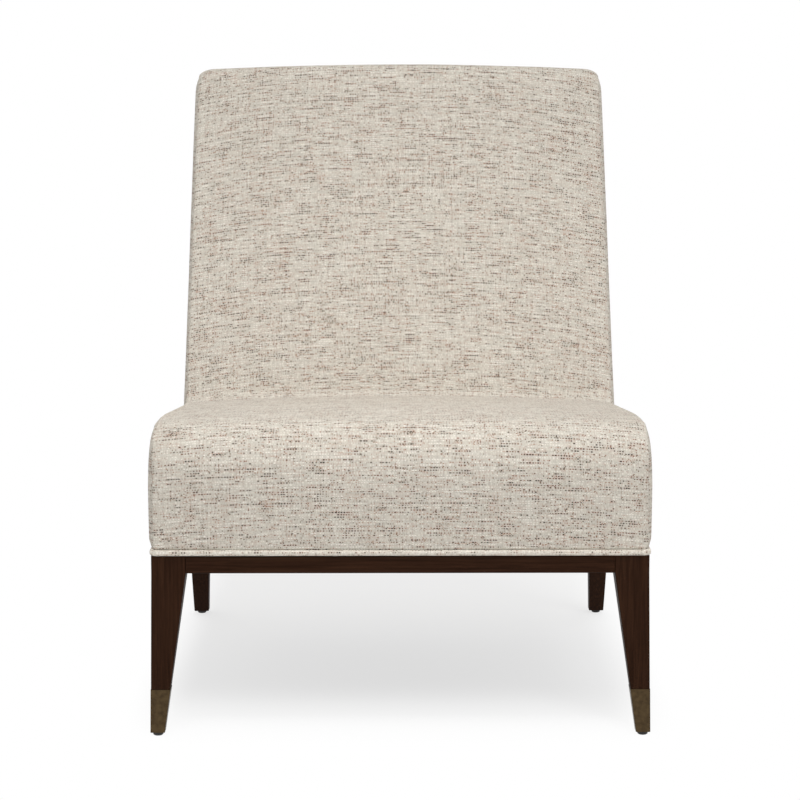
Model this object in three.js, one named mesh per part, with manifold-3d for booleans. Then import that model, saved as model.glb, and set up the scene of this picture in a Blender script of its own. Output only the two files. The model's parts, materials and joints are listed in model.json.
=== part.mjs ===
// An armless slipper chair: a show-wood base on tapered legs with metal ferrules, and an
// upholstered body of hardwood frame, sinuous springs, foam and fabric covers.
// Millimetres, +Z up, the front of the chair towards -Y. While it is built, y is measured
// back from the front face of the front legs, and the finished chair is then centred.

import * as THREE from "three";
import { mergeVertices } from "three/addons/utils/BufferGeometryUtils.js";
import Module from "manifold-3d";

const wasm = await Module();
wasm.setup();

// Show-wood base
const baseWidth = 664;
const baseDepth = 640;
const floorToRail = 222.7;
const baseRailHeight = 23.5;
const baseRailDepth = 36;
const woodEdge = 1.2;
const tenonLength = 22;
const tenonThickness = 10;
const tenonHeight = 14;
const tenonSpacing = 1.5;
const baseBlockLeg = 62;
const baseBlockHeight = 19;
const baseBlockDrop = 1.5;

// Legs, ferrules and glides
const frontLegTop = 46;
const frontLegFoot = 18.4;
const frontLegFlare = 3.3;
const rearLegTopWidth = 36;
const rearLegTopDepth = 46;
const rearLegFootWidth = 23.2;
const rearLegFootDepth = 24;
const rearLegKick = 108;
const rearLegFlare = 2;
const ferruleHeight = 59;
const ferruleWall = 1.5;
const ferruleProud = 0.5;
const ferruleFloor = 2;
const glideHeight = 5;
const glideRadius = 7;
const glideFlatRadius = 5.6;
const glideRound = 1.2;
const glideNailRadius = 1.5;
const glideNailLength = 18;

// Screws between base and body
const screwRadius = 2.2;
const screwHeadRadius = 4.5;
const screwHeadHeight = 3.2;
const screwRecess = 4;
const screwBite = 34;

// Body profile, at the side seams, set back from the front or by the base's rear
const seatFrontHeight = 421.5;
const seatFrontSetback = -3;
const seatBendRise = 6;
const creaseInset = 122;
const creaseHeight = 379;
const reclineDegrees = 19.3;
const backRakeDegrees = 13.8;
const backOverhang = 2;
const backHeight = 885.2;
const topFall = 8;
const topSeamDrop = 32;
const frontRollRadius = 58;
const seatBendRadius = 1500;
const creaseRadius = 22;
const topFrontRadius = 26;
const topRearRadius = 22;

// Body width: how far the side seams lie inside the base's sides
const seatSeamInset = 2;
const creaseSeamInset = 6;
const topSeamInset = 16;

// How full the covers stand between their seams, and how they roll over to them
const sideBulge = 7.5;
const sideBulgeRun = 30;
const sideFootRun = 15;
const seatEdgeRoll = 9;
const seatEdgeDrop = 4.5;
const backEdgeRoll = 11;
const backEdgeDrop = 6;
const topEdgeRoll = 24;
const topEdgeDrop = 13;
const footCrown = 2;
const frontCrown = 6;
const seatCrown = 8;
const creaseCrown = 10;
const backCrown = 14;
const topCrown = 9;
const rearCrown = 3;

// Cloth
const coverThickness = 1.6;
const weltRadius = 4.1;
const weltSideProud = 4.6;
const weltEndProud = 3.5;
const weltCornerRadius = 7;
const dustThickness = 1;
const dustLap = 1.5;
const deckThickness = 1;
const deckHem = 4;

// Body frame
const sidePadding = 6;
const frameRailHeight = 66;
const frameRailThickness = 28;
const frontRailSetback = 20;
const frameBlockLeg = 70;
const frameBlockHeight = 48;
const postThickness = 30;
const postDepth = 48;
const postPadding = 3.3;
const topPadding = 20;
const lowerRailHeight = 50;
const lowerRailFoot = 352;
const topRailHeight = 50;

// Springs and webbing
const springWireRadius = 2;
const springHalfWidth = 25;
const springArch = 12;
const springEndInset = 4;
const clipThickness = 1.2;
const clipWidth = 14;
const clipPlate = 16;
const deckShoulder = 36;
const webbingWidth = 60;
const webbingThickness = 1.5;

// Clearances
const clearance = 0.3;
const softClearance = 0.8;
const cutOverrun = 5;
const weldDistance = 0.001;

// Counts and shares
const springBends = 20;
const bendSteps = 3;
const arcSteps = 8;
const weltCornerSteps = 4;
const springWireSides = 5;
const weltSides = 10;
const boreSides = 12;
const screwSides = 12;
const glideSides = 16;
const springPlaceShares = [-0.76, -0.265, 0.265, 0.76];
const webbingPlaceShares = [0.2, 0.5, 0.8];
const screwPlaceShares = [0.15, 0.85];
const rearLegBendShare = 0.6;
const rearLegLevelShares = [0, 0.18, 0.36, 0.54, 0.7, 0.85, 1];
const acrossShares = [0, 0.3, 0.56, 0.8, 1];
const rollShares = [0.6, 0.15];
const sideSpanShares = [0, 0.06, 0.16, 0.4, 0.7, 0.88, 1];
const foamDeckShares = [0, 0.1, 0.93, 1];
const seatBendShare = 0.29;
const foamSpringShare = 0.45;
const foamSplitShare = 0.06;
const crownPower = 2;

// Places that follow from the sizes above
const baseTop = floorToRail + baseRailHeight;
const baseHalf = baseWidth / 2;
const baseInnerHalf = baseHalf - baseRailDepth;
const frameFoot = baseTop + dustThickness + 2 * clearance;
const frameRailTop = frameFoot + frameRailHeight;
const coverFoot = baseTop + 2 * weltRadius + 2 * clearance;
const creaseSetback = baseDepth - creaseInset;
const backFootSetback = baseDepth + backOverhang;
const recline = Math.tan(THREE.MathUtils.degToRad(reclineDegrees));
const backRake = THREE.MathUtils.degToRad(backRakeDegrees);
const postInset = 2 * weltRadius - weltEndProud + postPadding;
const seatSeamHalf = baseHalf - seatSeamInset;
const creaseSeamHalf = baseHalf - creaseSeamInset;
const topSeamHalf = baseHalf - topSeamInset;
const frameHalf = topSeamHalf - sidePadding;
const postInnerHalf = frameHalf - postThickness;
const frameInnerHalf = frameHalf - frameRailThickness;

const v2 = (y, z) => new THREE.Vector2(y, z);
const v3 = (x, y, z) => new THREE.Vector3(x, y, z);

// The line of the outside back in side view
const backLineAt = (z) => backFootSetback + (z - coverFoot) * Math.tan(backRake);
const postRearAt = (z) => backLineAt(z) - postInset;
const postFrontAt = (z) => postRearAt(z) - postDepth;
const topRearHeight = backHeight - topFall;
const topRailTop = topRearHeight - topPadding;

// Finishes
const finishes = {
  espressoWood: { color: "#2e1d13", roughness: 0.35, metalness: 0 },
  frameWood: { color: "#c9a777", roughness: 0.7, metalness: 0 },
  antiqueBronze: { color: "#6b5742", roughness: 0.35, metalness: 1 },
  glidePlastic: { color: "#171412", roughness: 0.55, metalness: 0 },
  zincSteel: { color: "#a9abad", roughness: 0.35, metalness: 1 },
  springSteel: { color: "#4b4d50", roughness: 0.45, metalness: 1 },
  slubTweed: { color: "#c9bfb1", roughness: 0.95, metalness: 0 },
  foam: { color: "#ece4cf", roughness: 0.95, metalness: 0 },
  felt: { color: "#e9e7e1", roughness: 1, metalness: 0 },
  burlap: { color: "#b39a6e", roughness: 1, metalness: 0 },
  webbing: { color: "#3b3a38", roughness: 0.9, metalness: 0 },
  blackCambric: { color: "#1b1b1c", roughness: 0.95, metalness: 0 },
};

// Six times the volume that the faces enclose, negative where they face inwards
function signedVolume(positions, index) {
  const a = v3();
  const b = v3();
  const c = v3();
  let total = 0;
  for (let i = 0; i < index.length; i += 3) {
    a.fromArray(positions, 3 * index[i]);
    b.fromArray(positions, 3 * index[i + 1]);
    c.fromArray(positions, 3 * index[i + 2]);
    total += a.dot(b.cross(c));
  }
  return total;
}

// A closed surface from its points and faces, with the faces turned outwards
function closedSurface(points, index) {
  const positions = points.flatMap((p) => [p.x, p.y, p.z]);
  const facing = signedVolume(positions, index) < 0 ? index.toReversed() : index;
  const geometry = new THREE.BufferGeometry();
  geometry.setAttribute("position", new THREE.Float32BufferAttribute(positions, 3));
  geometry.setIndex(facing);
  geometry.computeVertexNormals();
  return geometry;
}

// A skin through convex rings of equal point counts, capped, or run on into itself
function loft(rings, endless = false) {
  const count = rings[0].length;
  const index = [];
  const spans = endless ? rings.length : rings.length - 1;
  for (let ring = 0; ring < spans; ring++) {
    const here = ring * count;
    const next = ((ring + 1) % rings.length) * count;
    for (let k = 0; k < count; k++) {
      const after = (k + 1) % count;
      index.push(here + k, here + after, next + after);
      index.push(here + k, next + after, next + k);
    }
  }
  if (!endless) {
    const last = (rings.length - 1) * count;
    for (let k = 1; k < count - 1; k++) {
      index.push(0, k + 1, k);
      index.push(last, last + k, last + k + 1);
    }
  }
  return closedSurface(rings.flat(), index);
}

// A closed slab between two grids of points, outer and inner, of equal rows and columns
function slab(outer, inner) {
  const rows = outer.length;
  const columns = outer[0].length;
  const innerStart = rows * columns;
  const at = (row, column) => row * columns + column;
  const index = [];
  const quad = (a, b, c, d) => index.push(a, b, c, a, c, d);
  for (let row = 0; row < rows - 1; row++) {
    for (let column = 0; column < columns - 1; column++) {
      const a = at(row, column);
      const b = at(row, column + 1);
      const c = at(row + 1, column + 1);
      const d = at(row + 1, column);
      quad(a, b, c, d);
      quad(innerStart + a, innerStart + d, innerStart + c, innerStart + b);
    }
  }
  // Opposite edges are split along like diagonals, so that two slabs can lie end to end
  const edge = (a, b) => quad(b, a, innerStart + a, innerStart + b);
  const oppositeEdge = (a, b) => quad(a, innerStart + a, innerStart + b, b);
  for (let column = 0; column < columns - 1; column++) {
    edge(at(0, column), at(0, column + 1));
    oppositeEdge(at(rows - 1, column + 1), at(rows - 1, column));
  }
  for (let row = 0; row < rows - 1; row++) {
    edge(at(row, columns - 1), at(row + 1, columns - 1));
    oppositeEdge(at(row + 1, 0), at(row, 0));
  }
  return closedSurface([...outer.flat(), ...inner.flat()], index);
}

// A rectangle with chamfered corners, as eight points that place(u, v) puts in space
function chamferedRing(u0, u1, v0, v1, edge, place) {
  return [
    place(u0 + edge, v0),
    place(u1 - edge, v0),
    place(u1, v0 + edge),
    place(u1, v1 - edge),
    place(u1 - edge, v1),
    place(u0 + edge, v1),
    place(u0, v1 - edge),
    place(u0, v0 + edge),
  ];
}

// A side-view outline drawn in y and z, carried across the chair from x0 to x1
function acrossPrism(outline, x0, x1) {
  const shape = Array.isArray(outline) ? new THREE.Shape(outline) : outline;
  const geometry = new THREE.ExtrudeGeometry(shape, {
    depth: x1 - x0,
    bevelEnabled: false,
    curveSegments: arcSteps,
  });
  geometry.applyMatrix4(new THREE.Matrix4().makeBasis(v3(0, 1, 0), v3(0, 0, 1), v3(1, 0, 0)));
  return geometry.translate(x0, 0, 0);
}

// A plan-view outline drawn in x and y, raised from z0 to z1
function uprightPrism(outline, z0, z1) {
  const settings = { depth: z1 - z0, bevelEnabled: false };
  return new THREE.ExtrudeGeometry(new THREE.Shape(outline), settings).translate(0, 0, z0);
}

function boxBetween(low, high) {
  const size = high.clone().sub(low);
  const middle = low.clone().add(high).multiplyScalar(0.5);
  return new THREE.BoxGeometry(size.x, size.y, size.z).translate(middle.x, middle.y, middle.z);
}

// A round bar along z, for bores
function uprightBar(x, y, z0, z1, radius) {
  const bar = new THREE.CylinderGeometry(radius, radius, z1 - z0, boreSides);
  return bar.rotateX(Math.PI / 2).translate(x, y, (z0 + z1) / 2);
}

// A wire of round section through a list of points, lying roughly level
function wire(points, radius, sides, endless = false) {
  const up = v3(0, 0, 1);
  const last = points.length - 1;
  const rings = points.map((point, i) => {
    const before = points[endless ? (i + last) % points.length : Math.max(i - 1, 0)];
    const after = points[endless ? (i + 1) % points.length : Math.min(i + 1, last)];
    const along = after.clone().sub(before).normalize();
    const aside = along.clone().cross(up).normalize();
    const rise = aside.clone().cross(along);
    return Array.from({ length: sides }, (_, k) => {
      const angle = (2 * Math.PI * (k + 0.5)) / sides;
      const reach = aside.clone().multiplyScalar(radius * Math.cos(angle));
      return point.clone().add(reach).addScaledVector(rise, radius * Math.sin(angle));
    });
  });
  return loft(rings, endless);
}

function solidOf(geometry) {
  const bare = geometry.clone();
  bare.deleteAttribute("normal");
  bare.deleteAttribute("uv");
  const merged = mergeVertices(bare, weldDistance);
  const mesh = new wasm.Mesh({
    numProp: 3,
    vertProperties: merged.attributes.position.array,
    triVerts: new Uint32Array(merged.index.array),
  });
  return new wasm.Manifold(mesh);
}

// The geometry left when the cutters are taken out of a piece
function cut(geometry, cutters) {
  let solid = solidOf(geometry);
  for (const cutter of cutters) {
    solid = solid.subtract(solidOf(cutter));
  }
  const mesh = solid.getMesh();
  const result = new THREE.BufferGeometry();
  const positions = new THREE.BufferAttribute(new Float32Array(mesh.vertProperties), 3);
  result.setAttribute("position", positions);
  result.setIndex(new THREE.BufferAttribute(new Uint32Array(mesh.triVerts), 1));
  result.computeVertexNormals();
  return result;
}

// The chair and its two nested assemblies
const chair = new THREE.Group();
const base = new THREE.Group();
const body = new THREE.Group();
chair.add(base, body);

function addPiece(parent, name, geometry, finish) {
  const piece = new THREE.Mesh(geometry, new THREE.MeshStandardMaterial(finishes[finish]));
  piece.name = name;
  parent.add(piece);
  return piece;
}

// The same right-hand piece on both sides: right is +x, and left is its mirror image
function addPair(parent, nameOf, geometry, finish) {
  for (const [side, sign] of [["left", -1], ["right", 1]]) {
    addPiece(parent, nameOf(side), geometry, finish).scale.x = sign;
  }
}

// Runs of straight lines and arcs through corners, each corner rounded to its radius
function filletedRuns(corners) {
  const runs = [];
  let from = corners[0].at;
  for (let i = 1; i < corners.length - 1; i++) {
    const { at, radius } = corners[i];
    const into = at.clone().sub(corners[i - 1].at).normalize();
    const out = corners[i + 1].at.clone().sub(at).normalize();
    const turn = Math.atan2(into.cross(out), into.dot(out));
    const reach = radius * Math.tan(Math.abs(turn) / 2);
    const start = at.clone().addScaledVector(into, -reach);
    const towardsCentre = v2(-into.y, into.x).multiplyScalar(Math.sign(turn) * radius);
    const centre = start.clone().add(towardsCentre);
    const startAngle = start.clone().sub(centre).angle();
    runs.push(new THREE.LineCurve(from, start));
    runs.push(
      new THREE.EllipseCurve(
        centre.x, centre.y, radius, radius, startAngle, startAngle + turn, turn < 0,
      ),
    );
    from = at.clone().addScaledVector(out, reach);
  }
  runs.push(new THREE.LineCurve(from, corners.at(-1).at));
  return runs;
}

// Corners of the side seam, from the welt up the front, over the seat, up the inside back
// and over the top to the seam with the outside back
const seatFront = v2(seatFrontSetback, seatFrontHeight);
const crease = v2(creaseSetback, creaseHeight);
const seatBend = seatFront.clone().lerp(crease, seatBendShare).add(v2(0, seatBendRise));
const topRear = v2(backLineAt(topRearHeight), topRearHeight);
const seamCorners = [
  { at: v2(0, coverFoot) },
  { at: seatFront, radius: frontRollRadius },
  { at: seatBend, radius: seatBendRadius },
  { at: crease, radius: creaseRadius },
  {
    at: v2(creaseSetback + (backHeight - creaseHeight) * recline, backHeight),
    radius: topFrontRadius,
  },
  { at: topRear, radius: topRearRadius },
  {
    at: v2(
      topRear.x - topSeamDrop * Math.sin(backRake),
      topRear.y - topSeamDrop * Math.cos(backRake),
    ),
  },
];

// How the cover comes to the seam: how wide its roll is, and how far it falls there
const seatEdge = { roll: seatEdgeRoll, drop: seatEdgeDrop };
const backEdge = { roll: backEdgeRoll, drop: backEdgeDrop };
const topEdge = { roll: topEdgeRoll, drop: topEdgeDrop };

// What each run of the seam has at its end: its crown, its half width, its edge, and the share
// of the lower edge that faces it, which is 0 to 1 along the underside and 1 to 2 up the
// outside back
const seatWide = { half: seatSeamHalf, ...seatEdge };
const creaseWide = { half: creaseSeamHalf, ...seatEdge };
const topWide = { half: topSeamHalf, ...backEdge };
const topCorner = { half: topSeamHalf, ...topEdge };
const seamRuns = [
  { part: "front", steps: 3, crown: frontCrown, ...seatWide, facingShare: 0.1 },
  { part: "frontRoll", steps: 6, crown: frontCrown, ...seatWide, facingShare: 0.26 },
  { part: "seatFront", steps: 1, crown: frontCrown, ...seatWide, facingShare: 0.32 },
  { part: "seatBend", steps: 2, crown: seatCrown, ...seatWide, facingShare: 0.44 },
  { part: "seat", steps: 3, crown: creaseCrown, ...creaseWide, facingShare: 0.84 },
  { part: "crease", steps: 4, crown: creaseCrown, ...creaseWide, facingShare: 1 },
  { part: "back", steps: 6, crown: backCrown, ...topWide, facingShare: 1.88 },
  { part: "topFront", steps: 4, crown: topCrown, ...topCorner, facingShare: 1.91 },
  { part: "top", steps: 2, crown: topCrown, ...topCorner, facingShare: 1.94 },
  { part: "topRear", steps: 3, crown: rearCrown, ...topCorner, facingShare: 1.96 },
  { part: "topSeam", steps: 1, crown: rearCrown, ...topWide, facingShare: 1.975 },
];
const seamStart = { crown: footCrown, ...seatWide, facingShare: 0.03 };
const stationKeys = ["crown", "half", "roll", "drop", "facingShare"];

// Stations along the seam, and the number of the last station of each part
const stations = [];
const endOf = {};
filletedRuns(seamCorners).forEach((curve, i) => {
  const from = seamRuns[i - 1] ?? seamStart;
  const to = seamRuns[i];
  for (let step = stations.length ? 1 : 0; step <= to.steps; step++) {
    const share = step / to.steps;
    const point = curve.getPoint(share);
    const along = curve.getTangent(share);
    const blended = stationKeys.map((key) => [key, THREE.MathUtils.lerp(from[key], to[key], share)]);
    stations.push({
      y: point.x,
      z: point.y,
      outY: -along.y,
      outZ: along.x,
      ...Object.fromEntries(blended),
    });
  }
  endOf[to.part] = stations.length - 1;
});
const lastStation = stations.length - 1;
const creaseMiddle = (endOf.seat + endOf.crease) / 2;

// The seam at any place between two stations
function seamAt(place) {
  const before = Math.min(Math.floor(place), lastStation - 1);
  const share = place - before;
  const here = stations[before];
  const next = stations[before + 1];
  return Object.fromEntries(
    Object.keys(here).map((key) => [key, THREE.MathUtils.lerp(here[key], next[key], share)]),
  );
}

// A point of the padded face at x, lying depth below the outer skin of the cover
function facePoint(station, x, depth) {
  const outward = Math.abs(x);
  const { crown, half, roll, drop } = station;
  const lift = crown * (1 - (outward / half) ** crownPower);
  const past = THREE.MathUtils.clamp((outward - half + roll) / roll, 0, 1);
  const offset = lift - drop * (1 - Math.sqrt(1 - past ** 2)) - depth;
  return v3(x, station.y + station.outY * offset, station.z + station.outZ * offset);
}

// Mirrors a list of distances from the middle outwards into one from left to right
const bothWays = (distances) => [
  ...distances.slice(1).reverse().map((x) => -x),
  ...distances,
];

// Where a cover's points lie across the chair: wide apart in the middle, close at the roll
function coverAcross({ half, roll }) {
  const flat = acrossShares.map((share) => share * (half - roll));
  return bothWays([...flat, ...rollShares.map((share) => half - share * roll), half]);
}

function coverSheet(rows) {
  const grid = (depth) =>
    rows.map((station) => coverAcross(station).map((x) => facePoint(station, x, depth)));
  return slab(grid(0), grid(coverThickness));
}

// The outside back's own stations, up its line from the welt to the top seam
const seamEnd = stations[lastStation];
const backFoot = v2(backFootSetback, coverFoot);
const backTop = v2(
  seamEnd.y - clearance * Math.sin(backRake),
  seamEnd.z - clearance * Math.cos(backRake),
);
function outsideBackStation(share, half) {
  const at = backFoot.clone().lerp(backTop, share);
  const out = { outY: Math.cos(backRake), outZ: -Math.sin(backRake) };
  return { y: at.x, z: at.y, ...out, crown: rearCrown, half, ...backEdge };
}

// A side cover's edge lies under the turned edge of the cover that it is sewn to
const underSeam = ({ y, z, outY, outZ, drop }) => {
  const rim = drop + coverThickness + clearance;
  return v2(y - outY * rim, z - outZ * rim);
};

// The lower edge of a side cover at its share along the underside and up the outside back
const rearRim = backEdgeDrop + coverThickness + clearance;
const rimFoot = v2(backFootSetback - rearRim / Math.cos(backRake), coverFoot);
const rimTop = underSeam(seamEnd);
function lowerEdge(share) {
  return share <= 1
    ? v2(0, coverFoot).lerp(rimFoot, share)
    : rimFoot.clone().lerp(rimTop, share - 1);
}

// A point of the right side cover's skin at a place on the seam and a share of the way down
function sidePoint(place, span, depth) {
  const seam = seamAt(place);
  const upper = underSeam(seam);
  const lower = lowerEdge(seam.facingShare);
  const run = upper.distanceTo(lower);
  const at = upper.lerp(lower, span);
  const fromUpper = Math.min(1, (span * run) / sideBulgeRun);
  const fromLower = Math.min(1, ((1 - span) * run) / sideFootRun);
  const fullness = (1 - (1 - fromUpper) ** 2) * (1 - (1 - fromLower) ** 2);
  return v3(seam.half + sideBulge * fullness - depth, at.x, at.y);
}

// A sheet or pad on the right side, between two depths or down to a plane at innerX
function sideSheet(places, outerDepth, innerPointOf) {
  const outer = places.map((place) =>
    sideSpanShares.map((span) => sidePoint(place, span, outerDepth)));
  return slab(outer, outer.map((row) => row.map(innerPointOf)));
}

const count = (from, to) => Array.from({ length: to - from + 1 }, (_, i) => from + i);

// Fabric covers
function addCovers() {
  addPiece(body, "front_cover", coverSheet(stations), "slubTweed");
  const side = sideSheet(count(0, lastStation), 0, (p) => v3(p.x - coverThickness, p.y, p.z));
  addPair(body, (name) => `side_cover_${name}`, side, "slubTweed");
  const backMiddle = Math.round((endOf.crease + endOf.back) / 2);
  const rearPlaces = [endOf.crease, backMiddle, endOf.back, lastStation];
  const rearRows = rearPlaces.map((place) => {
    const { facingShare, half } = stations[place];
    return outsideBackStation(facingShare - 1, half);
  });
  rearRows.push(outsideBackStation(1, topSeamHalf));
  addPiece(body, "outside_back_cover", coverSheet(rearRows), "slubTweed");
}

// The welt, a covered cord round the foot of the upholstery
function addWelt() {
  const z = baseTop + clearance + weltRadius;
  const frontX = seatSeamHalf + weltSideProud - weltRadius;
  const rearX = creaseSeamHalf + weltSideProud - weltRadius;
  const frontY = weltRadius - weltEndProud;
  const rearY = backFootSetback - weltRadius + weltEndProud;
  const plan = [v2(frontX, frontY), v2(rearX, rearY), v2(-rearX, rearY), v2(-frontX, frontY)];
  const closing = plan[3].clone().lerp(plan[0], 0.5);
  const corners = [
    { at: closing },
    ...plan.map((at) => ({ at, radius: weltCornerRadius })),
    { at: closing },
  ];
  const points = filletedRuns(corners)
    .filter((run) => run.isEllipseCurve)
    .flatMap((run) => run.getPoints(weltCornerSteps))
    .map((p) => v3(p.x, p.y, z));
  addPiece(body, "welt", wire(points, weltRadius, weltSides, true), "slubTweed");
}

// The deck cloth lies over clips and springs and comes down to the side rails at its edges
const springFront = frontRailSetback + frameRailThickness - springEndInset;
const rearRailRear = postRearAt(frameFoot);
const springRear = rearRailRear - frameRailThickness + springEndInset;
const clipBore = springWireRadius + clearance;
const clipReach = clipBore + clipThickness;
const springEndHeight = frameRailTop + clearance + clipReach;
const clipTop = frameRailTop + clearance + 2 * clipReach;
const deckRaisedHalf = frameInnerHalf - deckShoulder;
const archAt = (y) => {
  const share = THREE.MathUtils.clamp((y - springFront) / (springRear - springFront), 0, 1);
  return springArch * 4 * share * (1 - share);
};
function deckHeight(x, y) {
  const low = frameRailTop + clearance;
  const high = clipTop + clearance + archAt(y);
  const drop = THREE.MathUtils.clamp((Math.abs(x) - deckRaisedHalf) / deckShoulder, 0, 1);
  return THREE.MathUtils.lerp(high, low, drop);
}

// Foam and deck cloth share their columns across the chair and their rows along the deck
const foamColumns = bothWays([
  0, deckRaisedHalf * foamSpringShare, deckRaisedHalf, frameInnerHalf, frameHalf,
]);
const padDepth = coverThickness + softClearance;
const foamFront = frontRailSetback - softClearance;
const foamJoint = (creaseSetback + postFrontAt(frameRailTop) - postDepth) / 2;
const webbingRoom = webbingThickness + clearance + softClearance;
const backFoamFoot = postFrontAt(frameRailTop) - webbingRoom;
const deckTop = (x, y) => deckHeight(x, y) + deckThickness + softClearance;
const seatPlaces = [...count(0, creaseMiddle - 1), creaseMiddle - foamSplitShare];
const backPlaces = [creaseMiddle + foamSplitShare, ...count(creaseMiddle + 1, lastStation)];

// How far back the seat foam's underside lies for a place on the seam
function seatDeckY(place) {
  const knots = [endOf.front, endOf.frontRoll, endOf.seat, creaseMiddle];
  const next = Math.max(1, knots.findIndex((knot) => place <= knot));
  const share = THREE.MathUtils.mapLinear(
    place, knots[next - 1], knots[next], foamDeckShares[next - 1], foamDeckShares[next],
  );
  return THREE.MathUtils.lerp(foamFront, foamJoint - softClearance, share);
}

// The same for the foot of the back foam, which stands on the deck behind the seat foam
function backDeckY(place) {
  const share = (place - creaseMiddle) / (endOf.crease - creaseMiddle);
  return THREE.MathUtils.lerp(foamJoint, backFoamFoot, share);
}

function addDeckCloth() {
  const yFrom = frontRailSetback + deckHem;
  const yTo = rearRailRear - deckHem;
  const rows = [
    yFrom,
    ...seatPlaces.filter((place) => seatDeckY(place) > yFrom).map(seatDeckY),
    ...count(creaseMiddle + 1, endOf.crease).map(backDeckY),
    yTo,
  ];
  const grid = (raise) =>
    rows.map((y) => foamColumns.map((x) => v3(x, y, deckHeight(x, y) + raise)));
  const notchWidth = postThickness + clearance + cutOverrun;
  const rightNotch = boxBetween(
    v3(postInnerHalf - clearance, postFrontAt(frameRailTop) - clearance, frameFoot),
    v3(postInnerHalf - clearance + notchWidth, rearRailRear + cutOverrun, lowerRailFoot),
  );
  const leftNotch = rightNotch.clone().translate(2 * clearance - 2 * postInnerHalf - notchWidth, 0, 0);
  const cloth = cut(slab(grid(deckThickness), grid(0)), [rightNotch, leftNotch]);
  addPiece(body, "deck_cloth", cloth, "burlap");
}

// The seat foam's outer face follows the cover, its inner face the front rail and the deck
function addSeatFoam() {
  const outer = [];
  const inner = [];
  for (const place of seatPlaces) {
    const seam = seamAt(place);
    outer.push(foamColumns.map((x) => facePoint(seam, x, padDepth)));
    inner.push(foamColumns.map((x) => {
      if (place <= endOf.front) {
        const z = THREE.MathUtils.lerp(coverFoot, deckTop(x, foamFront), place / endOf.front);
        return v3(x, foamFront, z);
      }
      const y = seatDeckY(place);
      return v3(x, y, deckTop(x, y));
    }));
  }
  addPiece(body, "seat_foam", slab(outer, inner), "foam");
}

// The back foam's inner face stands on the deck, follows the webbing and laps the top rail
function addBackFoam() {
  const topInner = topRailTop + softClearance;
  const innerTop = v2(postFrontAt(topInner) - webbingRoom, topInner);
  const innerRear = v2(postRearAt(topInner), topInner);
  const outer = [];
  const inner = [];
  for (const place of backPlaces.slice(0, -1)) {
    const seam = seamAt(place);
    outer.push(foamColumns.map((x) => facePoint(seam, x, padDepth)));
    inner.push(foamColumns.map((x) => {
      if (place <= endOf.crease) {
        const y = backDeckY(place);
        return v3(x, y, deckTop(x, y));
      }
      const up = place <= endOf.back;
      const foot = up ? v2(backFoamFoot, deckTop(x, backFoamFoot)) : innerTop;
      const share = up
        ? (place - endOf.crease) / (endOf.back - endOf.crease)
        : (place - endOf.back) / (endOf.topRear - endOf.back);
      const at = foot.clone().lerp(up ? innerTop : innerRear, share);
      return v3(x, at.x, at.y);
    }));
  }
  addPiece(body, "back_foam", slab(outer, inner), "foam");
}

// Felt between the frame's sides and the side covers
function addSidePadding() {
  const toFrame = (p) => v3(frameHalf + clearance, p.y, p.z);
  const seatPad = sideSheet(seatPlaces, padDepth, toFrame);
  const backPad = sideSheet(backPlaces, padDepth, toFrame);
  addPair(body, (name) => `seat_side_padding_${name}`, seatPad, "felt");
  addPair(body, (name) => `back_side_padding_${name}`, backPad, "felt");
}

// Screws from the underside of the base's side rails up into the body's side rails
const screwX = (baseInnerHalf + frameHalf) / 2;
const sideRailFront = frontRailSetback + frameRailThickness + clearance;
const sideRailRear = postFrontAt(frameFoot) - clearance;
const screwPlaces = screwPlaceShares.map((share) =>
  THREE.MathUtils.lerp(sideRailFront, sideRailRear, share));
const screwHeadTop = floorToRail + screwRecess;
const screwTip = frameFoot + screwBite;

function addScrews() {
  const profile = [
    v2(0, screwHeadTop - screwHeadHeight),
    v2(screwHeadRadius, screwHeadTop - screwHeadHeight),
    v2(screwHeadRadius, screwHeadTop),
    v2(screwRadius, screwHeadTop),
    v2(screwRadius, screwTip - 2 * screwRadius),
    v2(0, screwTip),
  ];
  screwPlaces.forEach((y, i) => {
    const screw = new THREE.LatheGeometry(profile, screwSides).rotateX(Math.PI / 2);
    const end = i === 0 ? "front" : "rear";
    addPair(body, (side) => `base_screw_${end}_${side}`, screw.translate(screwX, y, 0), "zincSteel");
  });
}

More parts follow.
